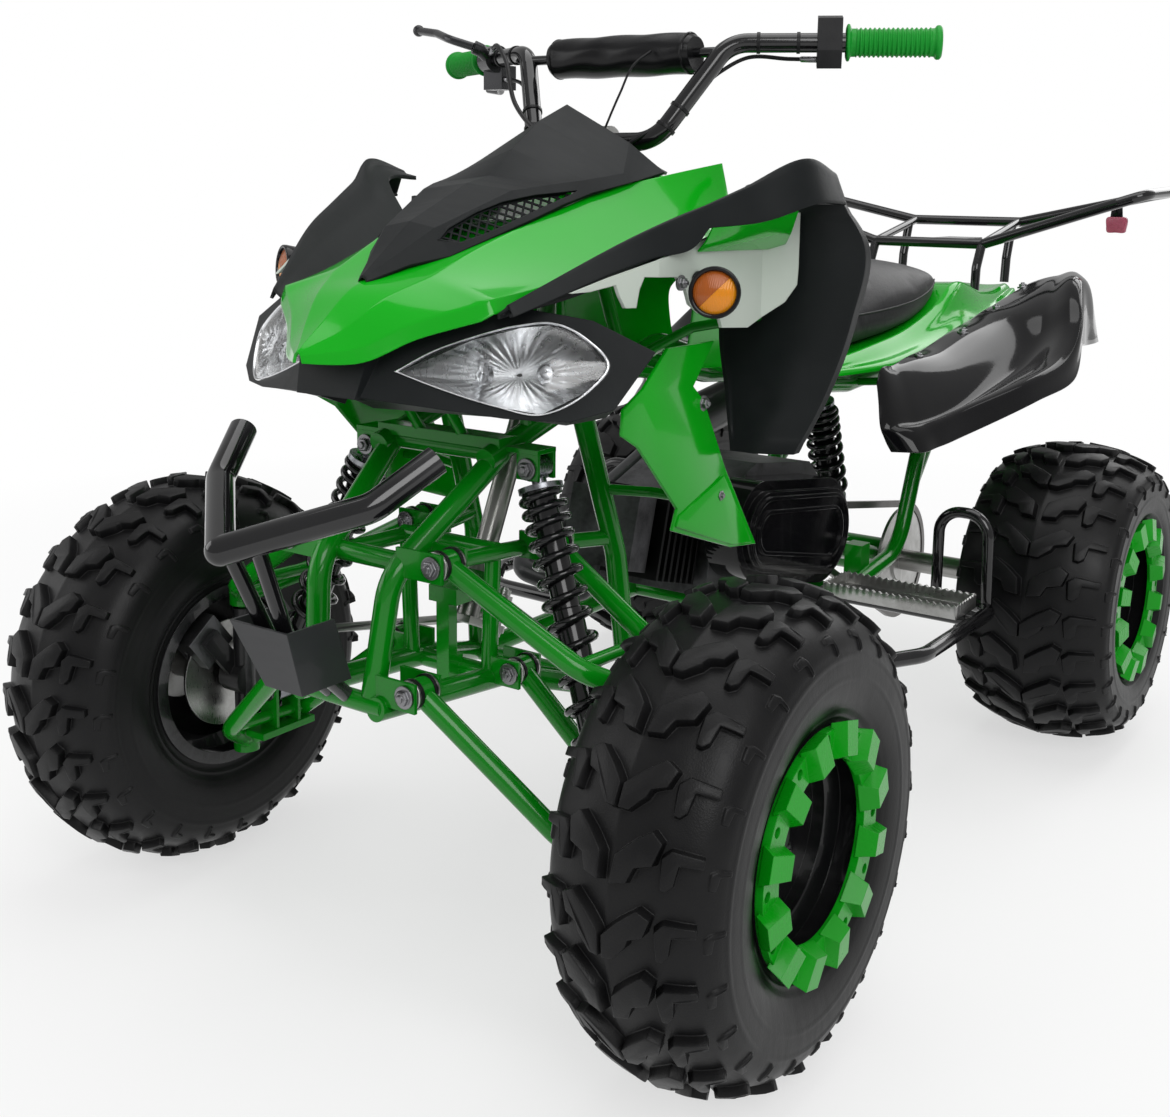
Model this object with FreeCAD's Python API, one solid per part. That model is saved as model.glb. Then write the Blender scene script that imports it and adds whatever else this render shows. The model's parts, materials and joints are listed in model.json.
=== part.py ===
"""Quad bike with independent front suspension, a steered front axle and a driven solid rear axle.

The bike faces -Y, its left side is +X and +Z is up. Lengths are in millimetres. The pieces are
drawn with Y = 0 midway between the axles and are moved along Y when they are written, so that the
origin lies under the middle of the whole bike.
"""

import FreeCAD, Part
import math
import os

V = FreeCAD.Vector
UP = V(0, 0, 1)
ACROSS = V(1, 0, 0)
BACK = V(0, 1, 0)

# Whole bike: each end keeps its distance to its axle when the wheelbase changes
WHEELBASE = 1070.0
DRAWN_WHEELBASE = 1070.0
END_REACH = 300.0


def station(drawn):
    """Place along the bike of a drawn one: moved whole with its axle at the ends, in proportion between them."""
    share = max(-1.0, min(1.0, drawn / END_REACH))
    return drawn + share * (WHEELBASE - DRAWN_WHEELBASE) / 2


def P(across, drawn, height):
    """A point of the frame or body, which follows the wheelbase."""
    return V(across, station(drawn), height)


FRONT_TRACK = 793.0
REAR_TRACK = 740.0
FRONT_END = station(-835.0)
REAR_END = station(1005.0)
RUNNING_GAP = 0.3

# Tyres and rims
FRONT_RADIUS = 241.3
FRONT_WIDTH = 178.0
REAR_RADIUS = 228.6
REAR_WIDTH = 226.0
SEAT_RADIUS = 101.6
FRONT_RIM_WIDTH = 150.0
REAR_RIM_WIDTH = 190.0
RIM_LIP = 3.0
RIM_LIP_RADIUS = SEAT_RADIUS + 11.4
RIM_WALL = 3.0
TYRE_WALL = 8.0
LUG_HEIGHT = 11.0
DISC_OFFSET = 25.0
DISC_PLATE = 4.0
HUB_RADIUS = 24.0
DISC_RADIUS = SEAT_RADIUS - 35.6
COVER_BLOCKS = 12

# Tread of a front tyre: corners as (across, along) on its left half, the leading way positive
TREAD_PITCHES = 12
CROWN_FALL = 24.0
LUG_DRAFT = 2.0
LUG_ROOT = 5.0
SHOULDER_INSET = 14.0
ARROW_ARM = [(0, 22), (0, -1), (30, -26), (40, -19), (26, 6), (10, 22)]
SPLIT_LOBE = [(5, 18), (5, -6), (34, -30), (42, -20), (24, 8)]
SIDE_LUG = [(47, 14), (47, -11), (68, -16), (68, 9)]

# Tubes
FRAME_TUBE = 12.5
CROSS_TUBE = 10.5
ARM_TUBE = 11.0
BUMPER_TUBE = 14.5
BAR_TUBE = 11.1
RACK_TUBE = 9.0
RAIL_X = 125.0
STAY_TUBE = 6.0
TUBE_WALL = 2.0
PLASTIC = 3.0

# Front suspension and steering, left side
KINGPIN_X = FRONT_TRACK / 2 - 96.5
LOWER_BALL_Z = 160.0
UPPER_BALL_Z = 345.0
LOWER_PIVOT_FRONT = P(90, -651, 342)
LOWER_PIVOT_REAR = P(90, -486, 320)
UPPER_PIVOT_FRONT = P(100, -622, 468)
UPPER_PIVOT_REAR = P(100, -440, 452)
SHOCK_TOP = P(115, -494, 548)
SHOCK_FOOT = P(KINGPIN_X - 62, -535, 240)
REAR_SHOCK_TOP = P(0, 392, 520)
REAR_SHOCK_FOOT = P(0, 470, 300)
STEERING_ARM = 55.0
COLUMN_TOP = P(0, -220, 905)
COLUMN_FOOT = P(0, -465, 370)
COLUMN_RADIUS = 13.0
PITMAN_DROP = 12.0
PITMAN_PLATE = 8.0
EYE_HALF = 6.0
EYE_LIFT = 11.0
EYE_STEP = 18.0
BAR_POINTS = [P(0, -234, 890), P(88, -234, 890), P(148, -172, 1004), P(358, -62, 1004)]
PAD_CENTRE = P(4, -178, 994)
PIN_RADIUS = 5.0
CALIPER_TURN = 38.0

# Left headlamp, in its own plane
LAMP_CORNER = P(62, -650, 659)
LAMP_OUTER = P(242, -545, 666)
LAMP_LEAN = 25.0
LAMP_MIDDLE = 125.0
LENS_CORNERS = [(0, 0), (70, 33), (120, 47), (150, 49), (186, 30), (209, 2), (190, -22), (146, -46), (100, -37), (45, -18)]
SURROUND_CORNERS = [(-45, -4), (20, 42), (80, 66), (131, 62), (190, 50), (252, 17), (215, -40), (173, -52), (110, -48), (-45, -24)]

# Left flare: along, then its crest, lower and inner edges as (across, height)
FLARE_ROWS = [
    (-600, (162, 727), (168, 716), (152, 722)),
    (-470, (233, 796), (242, 770), (224, 790)),
    (-425, (252.2, 813.2), (262, 781), (242, 807.2)),
    (-405, (260.8, 820.8), (266, 799), (250, 814.8)),
    (-360, (280, 838), (292, 803), (268, 832)),
    (-280, (317, 867), (330, 824), (298, 861)),
    (-226, (318, 853), (331, 822), (292, 848)),
]

# Left grille of the cowl: its plane, its outline as (along, up) and its mesh
GRILLE_CORNER = P(56, -560, 768.6)
GRILLE_ALONG = P(111, -391, 832) - GRILLE_CORNER
GRILLE_CORNERS = [(0, 21), (18, 9), (50, 6), (101, 6), (158, 7), (174, 9), (150, 15), (125, 23), (86, 31), (54, 32), (16, 28)]
GRILLE_DEPTH = 4.0
GRILLE_SHEET = 1.6
MESH_PITCH = 12.0
MESH_BAR = 2.2
MESH_ROWS = 6
MESH_COLUMNS = 17

# Left liner in plan: along the flare, back along the arch, and out towards the splash panel
LINER_PLAN = [(184, -602), (248, -470), (248, -260), (275, -209)]

# Engine and drive
CHAIN_X = 90.0
SPROCKET_RADIUS = 92.0
OUTPUT_Y = station(176.0)
OUTPUT_Z = 352.0
OUTPUT_RADIUS = 30.0
CASE_SIDE = 76.0
CYLINDER_FOOT = P(0, -66, 374)
CYLINDER_AXIS = V(0, -130, 36).normalize()
CYLINDER_DOWN = V(0, -36, -130).normalize()

FRONT_AXLE_Y = -WHEELBASE / 2
REAR_AXLE_Y = WHEELBASE / 2
SHIFT = V(0, -(FRONT_END + REAR_END) / 2, 0)
SWINGARM_PIVOT = P(0, 320, 285)
COLUMN_UP = (COLUMN_TOP - COLUMN_FOOT).normalize()
COLUMN_BACK = COLUMN_UP.cross(ACROSS)
if COLUMN_BACK.y < 0:
    COLUMN_BACK = -COLUMN_BACK
GRILLE_ALONG.normalize()
GRILLE_OUT = V(0.71771, -0.43697, 0.54217)
GRILLE_OUT = (GRILLE_OUT - GRILLE_ALONG * GRILLE_OUT.dot(GRILLE_ALONG)).normalize()
GRILLE_UP = GRILLE_OUT.cross(GRILLE_ALONG)
if GRILLE_UP.z < 0:
    GRILLE_UP = -GRILLE_UP
LAMP_ALONG = (LAMP_OUTER - LAMP_CORNER).normalize()
LAMP_INWARD = UP.cross(LAMP_ALONG).normalize()
LAMP_RISE = UP * math.cos(math.radians(LAMP_LEAN)) + LAMP_INWARD * math.sin(math.radians(LAMP_LEAN))
LAMP_FACE = LAMP_ALONG.cross(LAMP_RISE).normalize()


def mirrored(shape):
    """The same shape on the other side of the bike."""
    return shape.mirror(V(0, 0, 0), ACROSS)


def both(shape):
    """A left piece together with its right twin, as two solids or one where they meet."""
    return Part.makeCompound([shape, mirrored(shape)])


def fused(shapes, tidy=True):
    """One solid from shapes that overlap, with faces in one plane joined where that is wanted."""
    first = shapes[0]
    if len(shapes) == 1:
        return first
    whole = first.multiFuse(shapes[1:])
    return whole.removeSplitter() if tidy else whole


def largest(shape):
    """The biggest solid of a shape that a cut has left in pieces."""
    return max(shape.Solids, key=lambda solid: solid.Volume)


def rib(along, corners, thickness=4):
    """A symmetric crosswise web from its left corners, drawn from the bottom up as (across, height)."""
    left = [P(x, along, z) for x, z in corners]
    right = [P(-x, along, z) for x, z in reversed(corners)]
    face = Part.Face(Part.makePolygon(left + right + [left[0]]))
    return face.extrude(BACK * thickness)


def rod(start, end, radius):
    """A round bar from one point to another."""
    axis = end - start
    return Part.makeCylinder(radius, axis.Length, start, axis)


def ring(centre, axis, outer, inner, length):
    """A round collar centred on a point."""
    direction = V(axis).normalize()
    base = centre - direction * (length / 2)
    body = Part.makeCylinder(outer, length, base, direction)
    return body.cut(Part.makeCylinder(inner, length + 2, base - direction, direction))


def rounded_path(points, bend):
    """A wire along the points with every corner rounded to the bend radius."""
    edges = []
    start = points[0]
    for before, corner, after in zip(points, points[1:], points[2:]):
        back = (before - corner).normalize()
        onward = (after - corner).normalize()
        half = back.getAngle(onward) / 2
        if math.pi / 2 - half < 0.01:
            continue
        room = 0.45 * min((before - corner).Length, (after - corner).Length)
        reach = min(bend / math.tan(half), room)
        radius = reach * math.tan(half)
        middle = (back + onward).normalize()
        first = corner + back * reach
        last = corner + onward * reach
        top = corner + middle * (radius / math.sin(half) - radius)
        edges.append(Part.LineSegment(start, first).toShape())
        edges.append(Part.Arc(first, top, last).toShape())
        start = last
    edges.append(Part.LineSegment(start, points[-1]).toShape())
    return Part.Wire(edges)


def tube(points, radius, bend=60.0, bore=0.0):
    """A bent bar, hollow where a bore radius is given."""
    path = rounded_path(points, bend)
    axis = points[1] - points[0]
    solid = path.makePipeShell([Part.Wire(Part.Circle(points[0], axis, radius).toShape())], True, False)
    if not bore:
        return solid
    core = path.makePipeShell([Part.Wire(Part.Circle(points[0], axis, bore).toShape())], True, False)
    return solid.cut(core)


def plate(points, thickness):
    """A flat plate on the points, thickened along the side its outline turns left about."""
    face = Part.Face(Part.makePolygon(list(points) + [points[0]]))
    normal = face.normalAt(0, 0)
    return face.extrude(normal * thickness)


def loft(sections, ruled=False):
    """A solid through closed outlines of equal point count."""
    wires = [Part.makePolygon(list(section) + [section[0]]) for section in sections]
    return Part.makeLoft(wires, True, ruled)


def block(low, high):
    """A box between two corners."""
    return Part.makeBox(high[0] - low[0], high[1] - low[1], high[2] - low[2], V(*low))


# Wheels

def spun(points):
    """A ring about the X axis from an outline of (across, radius) points."""
    outline = [V(across, 0, radius) for across, radius in points]
    face = Part.Face(Part.makePolygon(outline + [outline[0]]))
    return face.revolve(V(0, 0, 0), ACROSS, 360)


def lug(corners, radius, half, low):
    """A tread lug whose flat top follows the crown's fall, lofted from inside the casing."""
    reach = half - SHOULDER_INSET
    wide = reach / (FRONT_WIDTH / 2 - SHOULDER_INSET)
    points = [(across * wide, along) for across, along in corners]
    inner = min(across for across, along in points)
    outer = max(across for across, along in points)
    start = CROWN_FALL * (inner / reach) ** 2
    slope = (CROWN_FALL * (outer / reach) ** 2 - start) / (outer - inner)
    middle = sum(across for across, along in points) / len(points)
    mean = sum(along for across, along in points) / len(points)

    def level(across):
        return radius - low - start - slope * (across - inner)

    top = []
    foot = []
    for across, along in points:
        away = V(across - middle, along - mean, 0)
        away = away * (1 + LUG_DRAFT / away.Length)
        side = 0 if across == 0 else middle + away.x
        top.append(V(across, -along, level(across)))
        foot.append(V(side, -mean - away.y, level(side) + low - LUG_HEIGHT - LUG_ROOT))
    return loft([foot, top], ruled=True)


def tread(radius, half):
    """Every lug of a tyre: arrows and split lobes in turn, each with a side lug beyond it."""
    side = lug(SIDE_LUG, radius, half, 2)
    rows = [[lug(ARROW_ARM, radius, half, 0), side], [lug(SPLIT_LOBE, radius, half, 0), side]]
    lugs = []
    for index in range(2 * TREAD_PITCHES):
        for shape in rows[index % 2]:
            for copy in (shape.copy(), mirrored(shape)):
                copy.rotate(V(0, 0, 0), ACROSS, index * 180.0 / TREAD_PITCHES)
                lugs.append(copy)
    return lugs


def tyre(radius, width, rim_width):
    """A hollow tyre about the X axis, open to the rim."""
    bead = rim_width / 2 - RIM_LIP
    half = width / 2
    crown = radius - LUG_HEIGHT
    shoulder_across = half - SHOULDER_INSET
    shoulder = crown - CROWN_FALL
    bulge = (SEAT_RADIUS + crown) / 2
    lip = RIM_LIP_RADIUS + 3

    def arc(a, b, c):
        return Part.Arc(V(a[0], 0, a[1]), V(b[0], 0, b[1]), V(c[0], 0, c[1])).toShape()

    def line(a, b):
        return Part.LineSegment(V(a[0], 0, a[1]), V(b[0], 0, b[1])).toShape()

    wall = TYRE_WALL
    edges = [
        line((bead, SEAT_RADIUS), (bead, lip)),
        arc((bead, lip), (half, bulge), (shoulder_across, shoulder)),
        arc((shoulder_across, shoulder), (0, crown), (-shoulder_across, shoulder)),
        arc((-shoulder_across, shoulder), (-half, bulge), (-bead, lip)),
        line((-bead, lip), (-bead, SEAT_RADIUS)),
        line((-bead, SEAT_RADIUS), (wall - bead, SEAT_RADIUS)),
        line((wall - bead, SEAT_RADIUS), (wall - bead, lip)),
        arc((wall - bead, lip), (wall - half, bulge), (wall - shoulder_across, shoulder - wall)),
        arc((wall - shoulder_across, shoulder - wall), (0, crown - wall), (shoulder_across - wall, shoulder - wall)),
        arc((shoulder_across - wall, shoulder - wall), (half - wall, bulge), (bead - wall, lip)),
        line((bead - wall, lip), (bead - wall, SEAT_RADIUS)),
        line((bead - wall, SEAT_RADIUS), (bead, SEAT_RADIUS)),
    ]
    casing = Part.Face(Part.Wire(edges)).revolve(V(0, 0, 0), ACROSS, 360)
    return fused([casing] + tread(radius, half), False)


def rim(rim_width):
    """A pressed steel rim with a drop centre and a bolted plate, outboard side at +X."""
    half = rim_width / 2
    inside = half - RIM_LIP
    seat = SEAT_RADIUS
    wall = RIM_WALL
    well = seat - 14
    outline = [
        (-half, RIM_LIP_RADIUS), (-inside, RIM_LIP_RADIUS), (-inside, seat), (-inside + 22, seat),
        (-inside + 32, well), (inside - 32, well), (inside - 22, seat), (inside, seat),
        (inside, RIM_LIP_RADIUS), (half, RIM_LIP_RADIUS), (half, seat - wall),
        (inside - 20, seat - wall), (inside - 30, well - wall), (-inside + 30, well - wall),
        (-inside + 20, seat - wall), (-half, seat - wall),
    ]
    barrel = spun(outline)
    disc = Part.makeCylinder(well - wall + 0.5, DISC_PLATE, V(DISC_OFFSET, 0, 0), ACROSS)
    disc = disc.cut(Part.makeCylinder(HUB_RADIUS, DISC_PLATE + 2, V(DISC_OFFSET - 1, 0, 0), ACROSS))
    return fused([barrel, disc])


def rim_cover(rim_width):
    """A moulded guard ring on the rim's outer lip, with a crown of tapered blocks."""
    seat = rim_width / 2
    inner = SEAT_RADIUS - 15
    outer = RIM_LIP_RADIUS + 2
    web = spun([(seat, inner), (seat, outer), (seat + 8, outer), (seat + 8, inner)])
    step = 360.0 / COVER_BLOCKS
    foot_half = 15.5
    top_half = 11.0
    foot = [V(seat + 4, -foot_half, inner - 3), V(seat + 4, foot_half, inner - 3),
            V(seat + 4, foot_half + 2, outer + 3), V(seat + 4, -foot_half - 2, outer + 3)]
    top = [V(seat + 22, -top_half, inner + 5), V(seat + 22, top_half, inner + 5),
           V(seat + 17, top_half + 1, outer + 8), V(seat + 17, -top_half - 1, outer + 8)]
    lump = loft([foot, top], ruled=True)
    lumps = []
    for index in range(COVER_BLOCKS):
        copy = lump.copy()
        copy.rotate(V(0, 0, 0), ACROSS, (index + 0.5) * step)
        lumps.append(copy)
    cover = fused([web] + lumps)
    for index in range(COVER_BLOCKS):
        hole = Part.makeCylinder(5, 12, V(seat - 2, 0, outer - 8), ACROSS)
        hole.rotate(V(0, 0, 0), ACROSS, index * step)
        cover = cover.cut(hole)
    return cover


def placed(shape, across, along, height):
    """A left wheel piece moved from its own centre to the axle."""
    copy = shape.copy()
    copy.translate(V(across, along, height))
    return copy


def front_hub():
    """Hub with its bolting flange and brake disc, about the X axis."""
    sleeve = spun([(-58, PIN_RADIUS * 2 + RUNNING_GAP), (-58, HUB_RADIUS - 4), (DISC_OFFSET - 6, HUB_RADIUS - 1),
                   (DISC_OFFSET - 6, 50), (DISC_OFFSET, 50), (DISC_OFFSET, HUB_RADIUS - RUNNING_GAP),
                   (DISC_OFFSET + 8, HUB_RADIUS - 3), (DISC_OFFSET + 8, PIN_RADIUS * 2 + RUNNING_GAP)])
    disc = spun([(-66, 18), (-66, DISC_RADIUS), (-62.5, DISC_RADIUS), (-62.5, 18)])
    carrier = spun([(-66, PIN_RADIUS * 2 + RUNNING_GAP), (-66, 30), (-56, 26), (-56, PIN_RADIUS * 2 + RUNNING_GAP)])
    return fused([sleeve, disc, carrier])


# Steered pieces

def knuckle():
    """Left steering knuckle: kingpin post, stub axle, steering arm and brake caliper."""
    centre = V(KINGPIN_X, FRONT_AXLE_Y, FRONT_RADIUS)
    low = V(KINGPIN_X, FRONT_AXLE_Y, LOWER_BALL_Z + 34)
    high = V(KINGPIN_X, FRONT_AXLE_Y, UPPER_BALL_Z - 15)
    post = rod(low, high, 13)
    boss = rod(centre - ACROSS * 10, centre + ACROSS * 24, 21)
    stub_end = V(FRONT_TRACK / 2 + DISC_OFFSET + 18, FRONT_AXLE_Y, FRONT_RADIUS)
    stub = rod(centre, stub_end, PIN_RADIUS * 2)
    nut_start = V(FRONT_TRACK / 2 + DISC_OFFSET + 8 + RUNNING_GAP, FRONT_AXLE_Y, FRONT_RADIUS)
    nut = rod(nut_start, nut_start + ACROSS * 8, 14)
    arm_z = 262.0
    pin_foot = V(KINGPIN_X, FRONT_AXLE_Y + STEERING_ARM, arm_z)
    arm = block((KINGPIN_X - 9, FRONT_AXLE_Y, arm_z), (KINGPIN_X + 9, FRONT_AXLE_Y + STEERING_ARM, arm_z + 10))
    arm_end = rod(pin_foot, pin_foot + UP * 10, 11)
    pin = rod(pin_foot, pin_foot + UP * 44, PIN_RADIUS)
    nut_top = rod(pin_foot + UP * 35, pin_foot + UP * 42, 9)
    body = fused([post, boss, stub, nut, arm, arm_end, pin, nut_top])
    bracket = block((KINGPIN_X + 4, -12, 0), (KINGPIN_X + 11.7, 12, DISC_RADIUS + 10))
    bracket.rotate(V(0, 0, 0), ACROSS, CALIPER_TURN)
    bracket.translate(V(0, FRONT_AXLE_Y, FRONT_RADIUS))
    body = fused([body, bracket])
    socket = rod(low - UP, low + UP * 28, 6 + RUNNING_GAP)
    top_socket = rod(high - UP * 28, high + UP, 6 + RUNNING_GAP)
    return body.cut(socket).cut(top_socket)


def caliper():
    """Left front brake caliper, straddling the disc and bolted to the knuckle's bracket."""
    disc_x = FRONT_TRACK / 2 - 64.25
    low = DISC_RADIUS - 24
    body = block((KINGPIN_X + 12, -24, low), (disc_x + 14, 24, DISC_RADIUS + 22))
    slot = block((disc_x - 3.5, -30, low - 1), (disc_x + 3.5, 30, DISC_RADIUS + 3))
    body = body.cut(slot)
    body.rotate(V(0, 0, 0), ACROSS, CALIPER_TURN)
    return body.translated(V(0, FRONT_AXLE_Y, FRONT_RADIUS))


def rod_eye(side):
    """Middle of a tie rod's inner eye on the pitman's one bolt, the left rod's above the right one's."""
    deck = COLUMN_FOOT - COLUMN_UP * PITMAN_DROP + COLUMN_BACK * STEERING_ARM
    return deck + COLUMN_UP * (EYE_LIFT + (EYE_STEP if side > 0 else 0))


def tie_rod(side):
    """Tie rod of one side, drawn on the left, between the pitman's bolt and the knuckle's steering arm."""
    inner = rod_eye(side)
    outer = V(KINGPIN_X, FRONT_AXLE_Y + STEERING_ARM, 283)
    direction = (outer - inner).normalize()
    bar = rod(inner + direction * 10.5, outer - direction * 11, 5.5)
    inner_eye = ring(inner, COLUMN_UP, 12, PIN_RADIUS + RUNNING_GAP, EYE_HALF * 2)
    outer_eye = ring(outer, UP, 14, PIN_RADIUS + 1.5, EYE_HALF * 2)
    clear = rod(inner - COLUMN_UP * 10, inner + COLUMN_UP * 10, PIN_RADIUS + RUNNING_GAP)
    clear_outer = rod(outer - UP * 10, outer + UP * 10, PIN_RADIUS + 1.5)
    return fused([bar, inner_eye, outer_eye]).cut(clear).cut(clear_outer)


def steering_column():
    """Column with its pitman plate, the bolt that carries both tie rods and the handlebar clamp."""
    shaft = rod(COLUMN_FOOT - COLUMN_UP * 10, COLUMN_TOP - COLUMN_UP * 26, COLUMN_RADIUS)
    deck = COLUMN_FOOT - COLUMN_UP * PITMAN_DROP
    floor = deck - COLUMN_UP * PITMAN_PLATE
    reach = floor + COLUMN_BACK * STEERING_ARM
    pitman = plate([floor - ACROSS * 16 - COLUMN_BACK * 14, floor + ACROSS * 16 - COLUMN_BACK * 14,
                    reach + ACROSS * 12, reach - ACROSS * 12], PITMAN_PLATE)
    if (pitman.CenterOfMass - floor).dot(COLUMN_UP) < 0:
        pitman.translate(COLUMN_UP * PITMAN_PLATE)
    low_eye = rod_eye(-1) - COLUMN_UP * (EYE_HALF + RUNNING_GAP)
    high_eye = rod_eye(1) - COLUMN_UP * (EYE_HALF + RUNNING_GAP)
    under_high = rod_eye(-1) + COLUMN_UP * (EYE_HALF + RUNNING_GAP)
    top = rod_eye(1) + COLUMN_UP * (EYE_HALF + RUNNING_GAP)
    pieces = [shaft, pitman, rod(floor, COLUMN_FOOT, COLUMN_RADIUS), rod(reach, reach + COLUMN_UP * PITMAN_PLATE, 12),
              rod(reach - COLUMN_UP * 5, top + COLUMN_UP * 9, PIN_RADIUS), rod(reach - COLUMN_UP * 5, reach, 9),
              rod(reach, low_eye, PIN_RADIUS + 2), rod(under_high, high_eye, PIN_RADIUS + 2),
              rod(top, top + COLUMN_UP * 7, 8.5)]
    pieces.append(ring(BAR_POINTS[0], ACROSS, BAR_TUBE + 8, BAR_TUBE, 54))
    pieces.append(rod(COLUMN_TOP - COLUMN_UP * 40, COLUMN_TOP - COLUMN_UP * 24, COLUMN_RADIUS + 5))
    return fused(pieces).cut(handlebar_core())


def handlebar_half(radius):
    """Left half of the handlebar as a solid bar."""
    return tube(BAR_POINTS, radius, 42)


def handlebar_core():
    """The handlebar's outer form, which its clamp is cut to."""
    half = handlebar_half(BAR_TUBE)
    return fused([half, mirrored(half)])


def handlebar():
    """Bent handlebar with its cross brace."""
    half = handlebar_half(BAR_TUBE)
    brace = rod(PAD_CENTRE - ACROSS * 144, PAD_CENTRE + ACROSS * 138, 6)
    return fused([half, mirrored(half), brace])


def bar_pad():
    """Round foam pad on the cross brace."""
    return ring(PAD_CENTRE, ACROSS, 25, 6, 206)


def grip():
    """Left rubber grip with its end flange, on the handlebar's straight end."""
    end = BAR_POINTS[-1]
    direction = (BAR_POINTS[-1] - BAR_POINTS[-2]).normalize()
    start = end - direction * 104
    sleeve = rod(start, end + direction * 4, 16)
    flange = rod(start, start + direction * 5, 20)
    tip = rod(end - direction * 3, end + direction * 4, 19)
    bore = rod(start - direction, end, BAR_TUBE)
    return fused([sleeve, flange, tip]).cut(bore)


def switch_block():
    """Switch housing clamped beside the left grip."""
    direction = (BAR_POINTS[-1] - BAR_POINTS[-2]).normalize()
    centre = BAR_POINTS[-1] - direction * 122
    side = direction.cross(UP).normalize()
    profile = [(-20, -24), (14, -30), (22, -10), (20, 26), (-14, 32), (-24, 12)]
    start = centre - direction * 14
    outline = [start + side * a + UP * b for a, b in profile]
    face = Part.Face(Part.makePolygon(outline + [outline[0]]))
    body = face.extrude(direction * 28)
    bore = rod(centre - direction * 30, centre + direction * 30, BAR_TUBE)
    return body.cut(bore)


def brake_lever():
    """Right lever perch with the brake lever, parking catch and thumb throttle."""
    direction = (BAR_POINTS[-1] - BAR_POINTS[-2]).normalize()
    centre = BAR_POINTS[-1] - direction * 126
    perch = ring(centre, direction, 18, BAR_TUBE, 30)
    pivot = centre + V(6, -34, 14)
    neck = tube([centre + V(0, -15, 4), centre + V(0, -26, 10), pivot], 9, 8)
    hub = rod(pivot - UP * 8, pivot + UP * 8, 12)
    lever = tube([pivot, pivot + V(30, -14, 10), pivot + V(75, 12, 22), pivot + V(128, 34, 30)], 5.5, 30)
    knob = Part.makeSphere(8, pivot + V(128, 34, 30))
    box = block((centre.x - 20, centre.y - 6, centre.z - 40), (centre.x + 12, centre.y + 24, centre.z - 8))
    paddle = tube([V(centre.x, centre.y + 12, centre.z - 34), V(centre.x + 14, centre.y + 34, centre.z - 40),
                   V(centre.x + 44, centre.y + 44, centre.z - 36)], 5, 10)
    whole = fused([perch, neck, hub, lever, knob, box, paddle])
    return mirrored(whole.cut(rod(centre - direction * 40, centre + direction * 40, BAR_TUBE)))


# Frame and suspension

def frame_side():
    """Left half of the welded tube frame."""
    radius = FRAME_TUBE
    return [
        tube([P(76, -505, 560), P(50, -648, 452), P(40, -664, 330)], radius, 60),
        tube([P(54, -676, 322), P(58, -470, 304), P(118, -310, 252), P(RAIL_X, 300, 250),
              P(RAIL_X, 445, 268), P(RAIL_X, 505, 410), P(100, 650, 576)], radius, 80),
        tube([P(98, -390, 596), P(106, -330, 420), P(114, -312, 258)], radius, 60),
        top_tube(radius),
        tube([P(RAIL_X, 485, 362), P(96, 790, 600)], CROSS_TUBE, 40),
        tube([P(54, -642, 456), P(70, -440, 446), P(104, -338, 440)], 9, 60),
    ]


def top_tube(radius):
    """Left top rail of the frame, from the shock bridge back under the seat to the tail."""
    return tube([P(76, -530, 556), P(78, -380, 600), P(62, -180, 650), P(66, 40, 590), P(86, 180, 560), P(92, 300, 548),
                 P(96, 620, 572), P(92, 975, 626)], radius, 70)


def stays(radius):
    """Left stays from the frame to the body panels: nose, bonnet, cowl, leg shield, splash panel and fender."""
    return [
        tube([P(30, -505, 566), P(30, -560, 640), P(30, -620, 652)], radius, 30),
        rod(P(78, -465, 572), P(78, -465, 789.7), radius),
        rod(P(76, -400, 592), P(76, -400, 824.7), radius),
        tube([P(102, -357, 500), P(160, -336, 500), P(214 - RUNNING_GAP, -336, 500)], radius, 20),
        tube([P(80, -380, 600), P(160, -372, 640), P(214 - RUNNING_GAP, -372, 640)], radius, 20),
        tube([P(66, -235, 636), P(140, -226, 676), P(215, -226, 692), P(215, -206.9, 692)], radius, 14),
        rod(P(92, 320, 549), P(196, 320, 560), radius),
        rod(P(96, 620, 574), P(200, 620, 590), radius),
    ]


def cross_tube(along, height, reach, radius=CROSS_TUBE):
    """A straight tube from side to side."""
    return rod(V(-reach, along, height), V(reach, along, height), radius)


def arm_brackets():
    """Left pivot lugs for the two wishbones, fore and aft of each bush."""
    plates = []
    for pivot, inner in ((LOWER_PIVOT_FRONT, 50), (LOWER_PIVOT_REAR, 52),
                         (UPPER_PIVOT_FRONT, 52), (UPPER_PIVOT_REAR, 66)):
        for offset in (-20, 16):
            low = V(inner, pivot.y + offset, pivot.z - 16)
            plates.append(block((low.x, low.y, low.z), (pivot.x + 12, low.y + 4, pivot.z + 14)))
        plates.append(rod(V(pivot.x, pivot.y - 22, pivot.z), V(pivot.x, pivot.y + 22, pivot.z), 5))
    return plates


def shock_hanger():
    """Left top clevis of the front shock, under the frame's front bridge."""
    top = SHOCK_TOP
    pieces = [block((78, top.y - 16, top.z + 16), (top.x + 14, top.y + 16, top.z + 21))]
    for offset in (-15.5, 11.5):
        pieces.append(block((top.x - 14, top.y + offset, top.z - 12), (top.x + 14, top.y + offset + 4, top.z + 18)))
    pieces.append(rod(top - BACK * 16, top + BACK * 16, 5))
    return pieces


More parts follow.
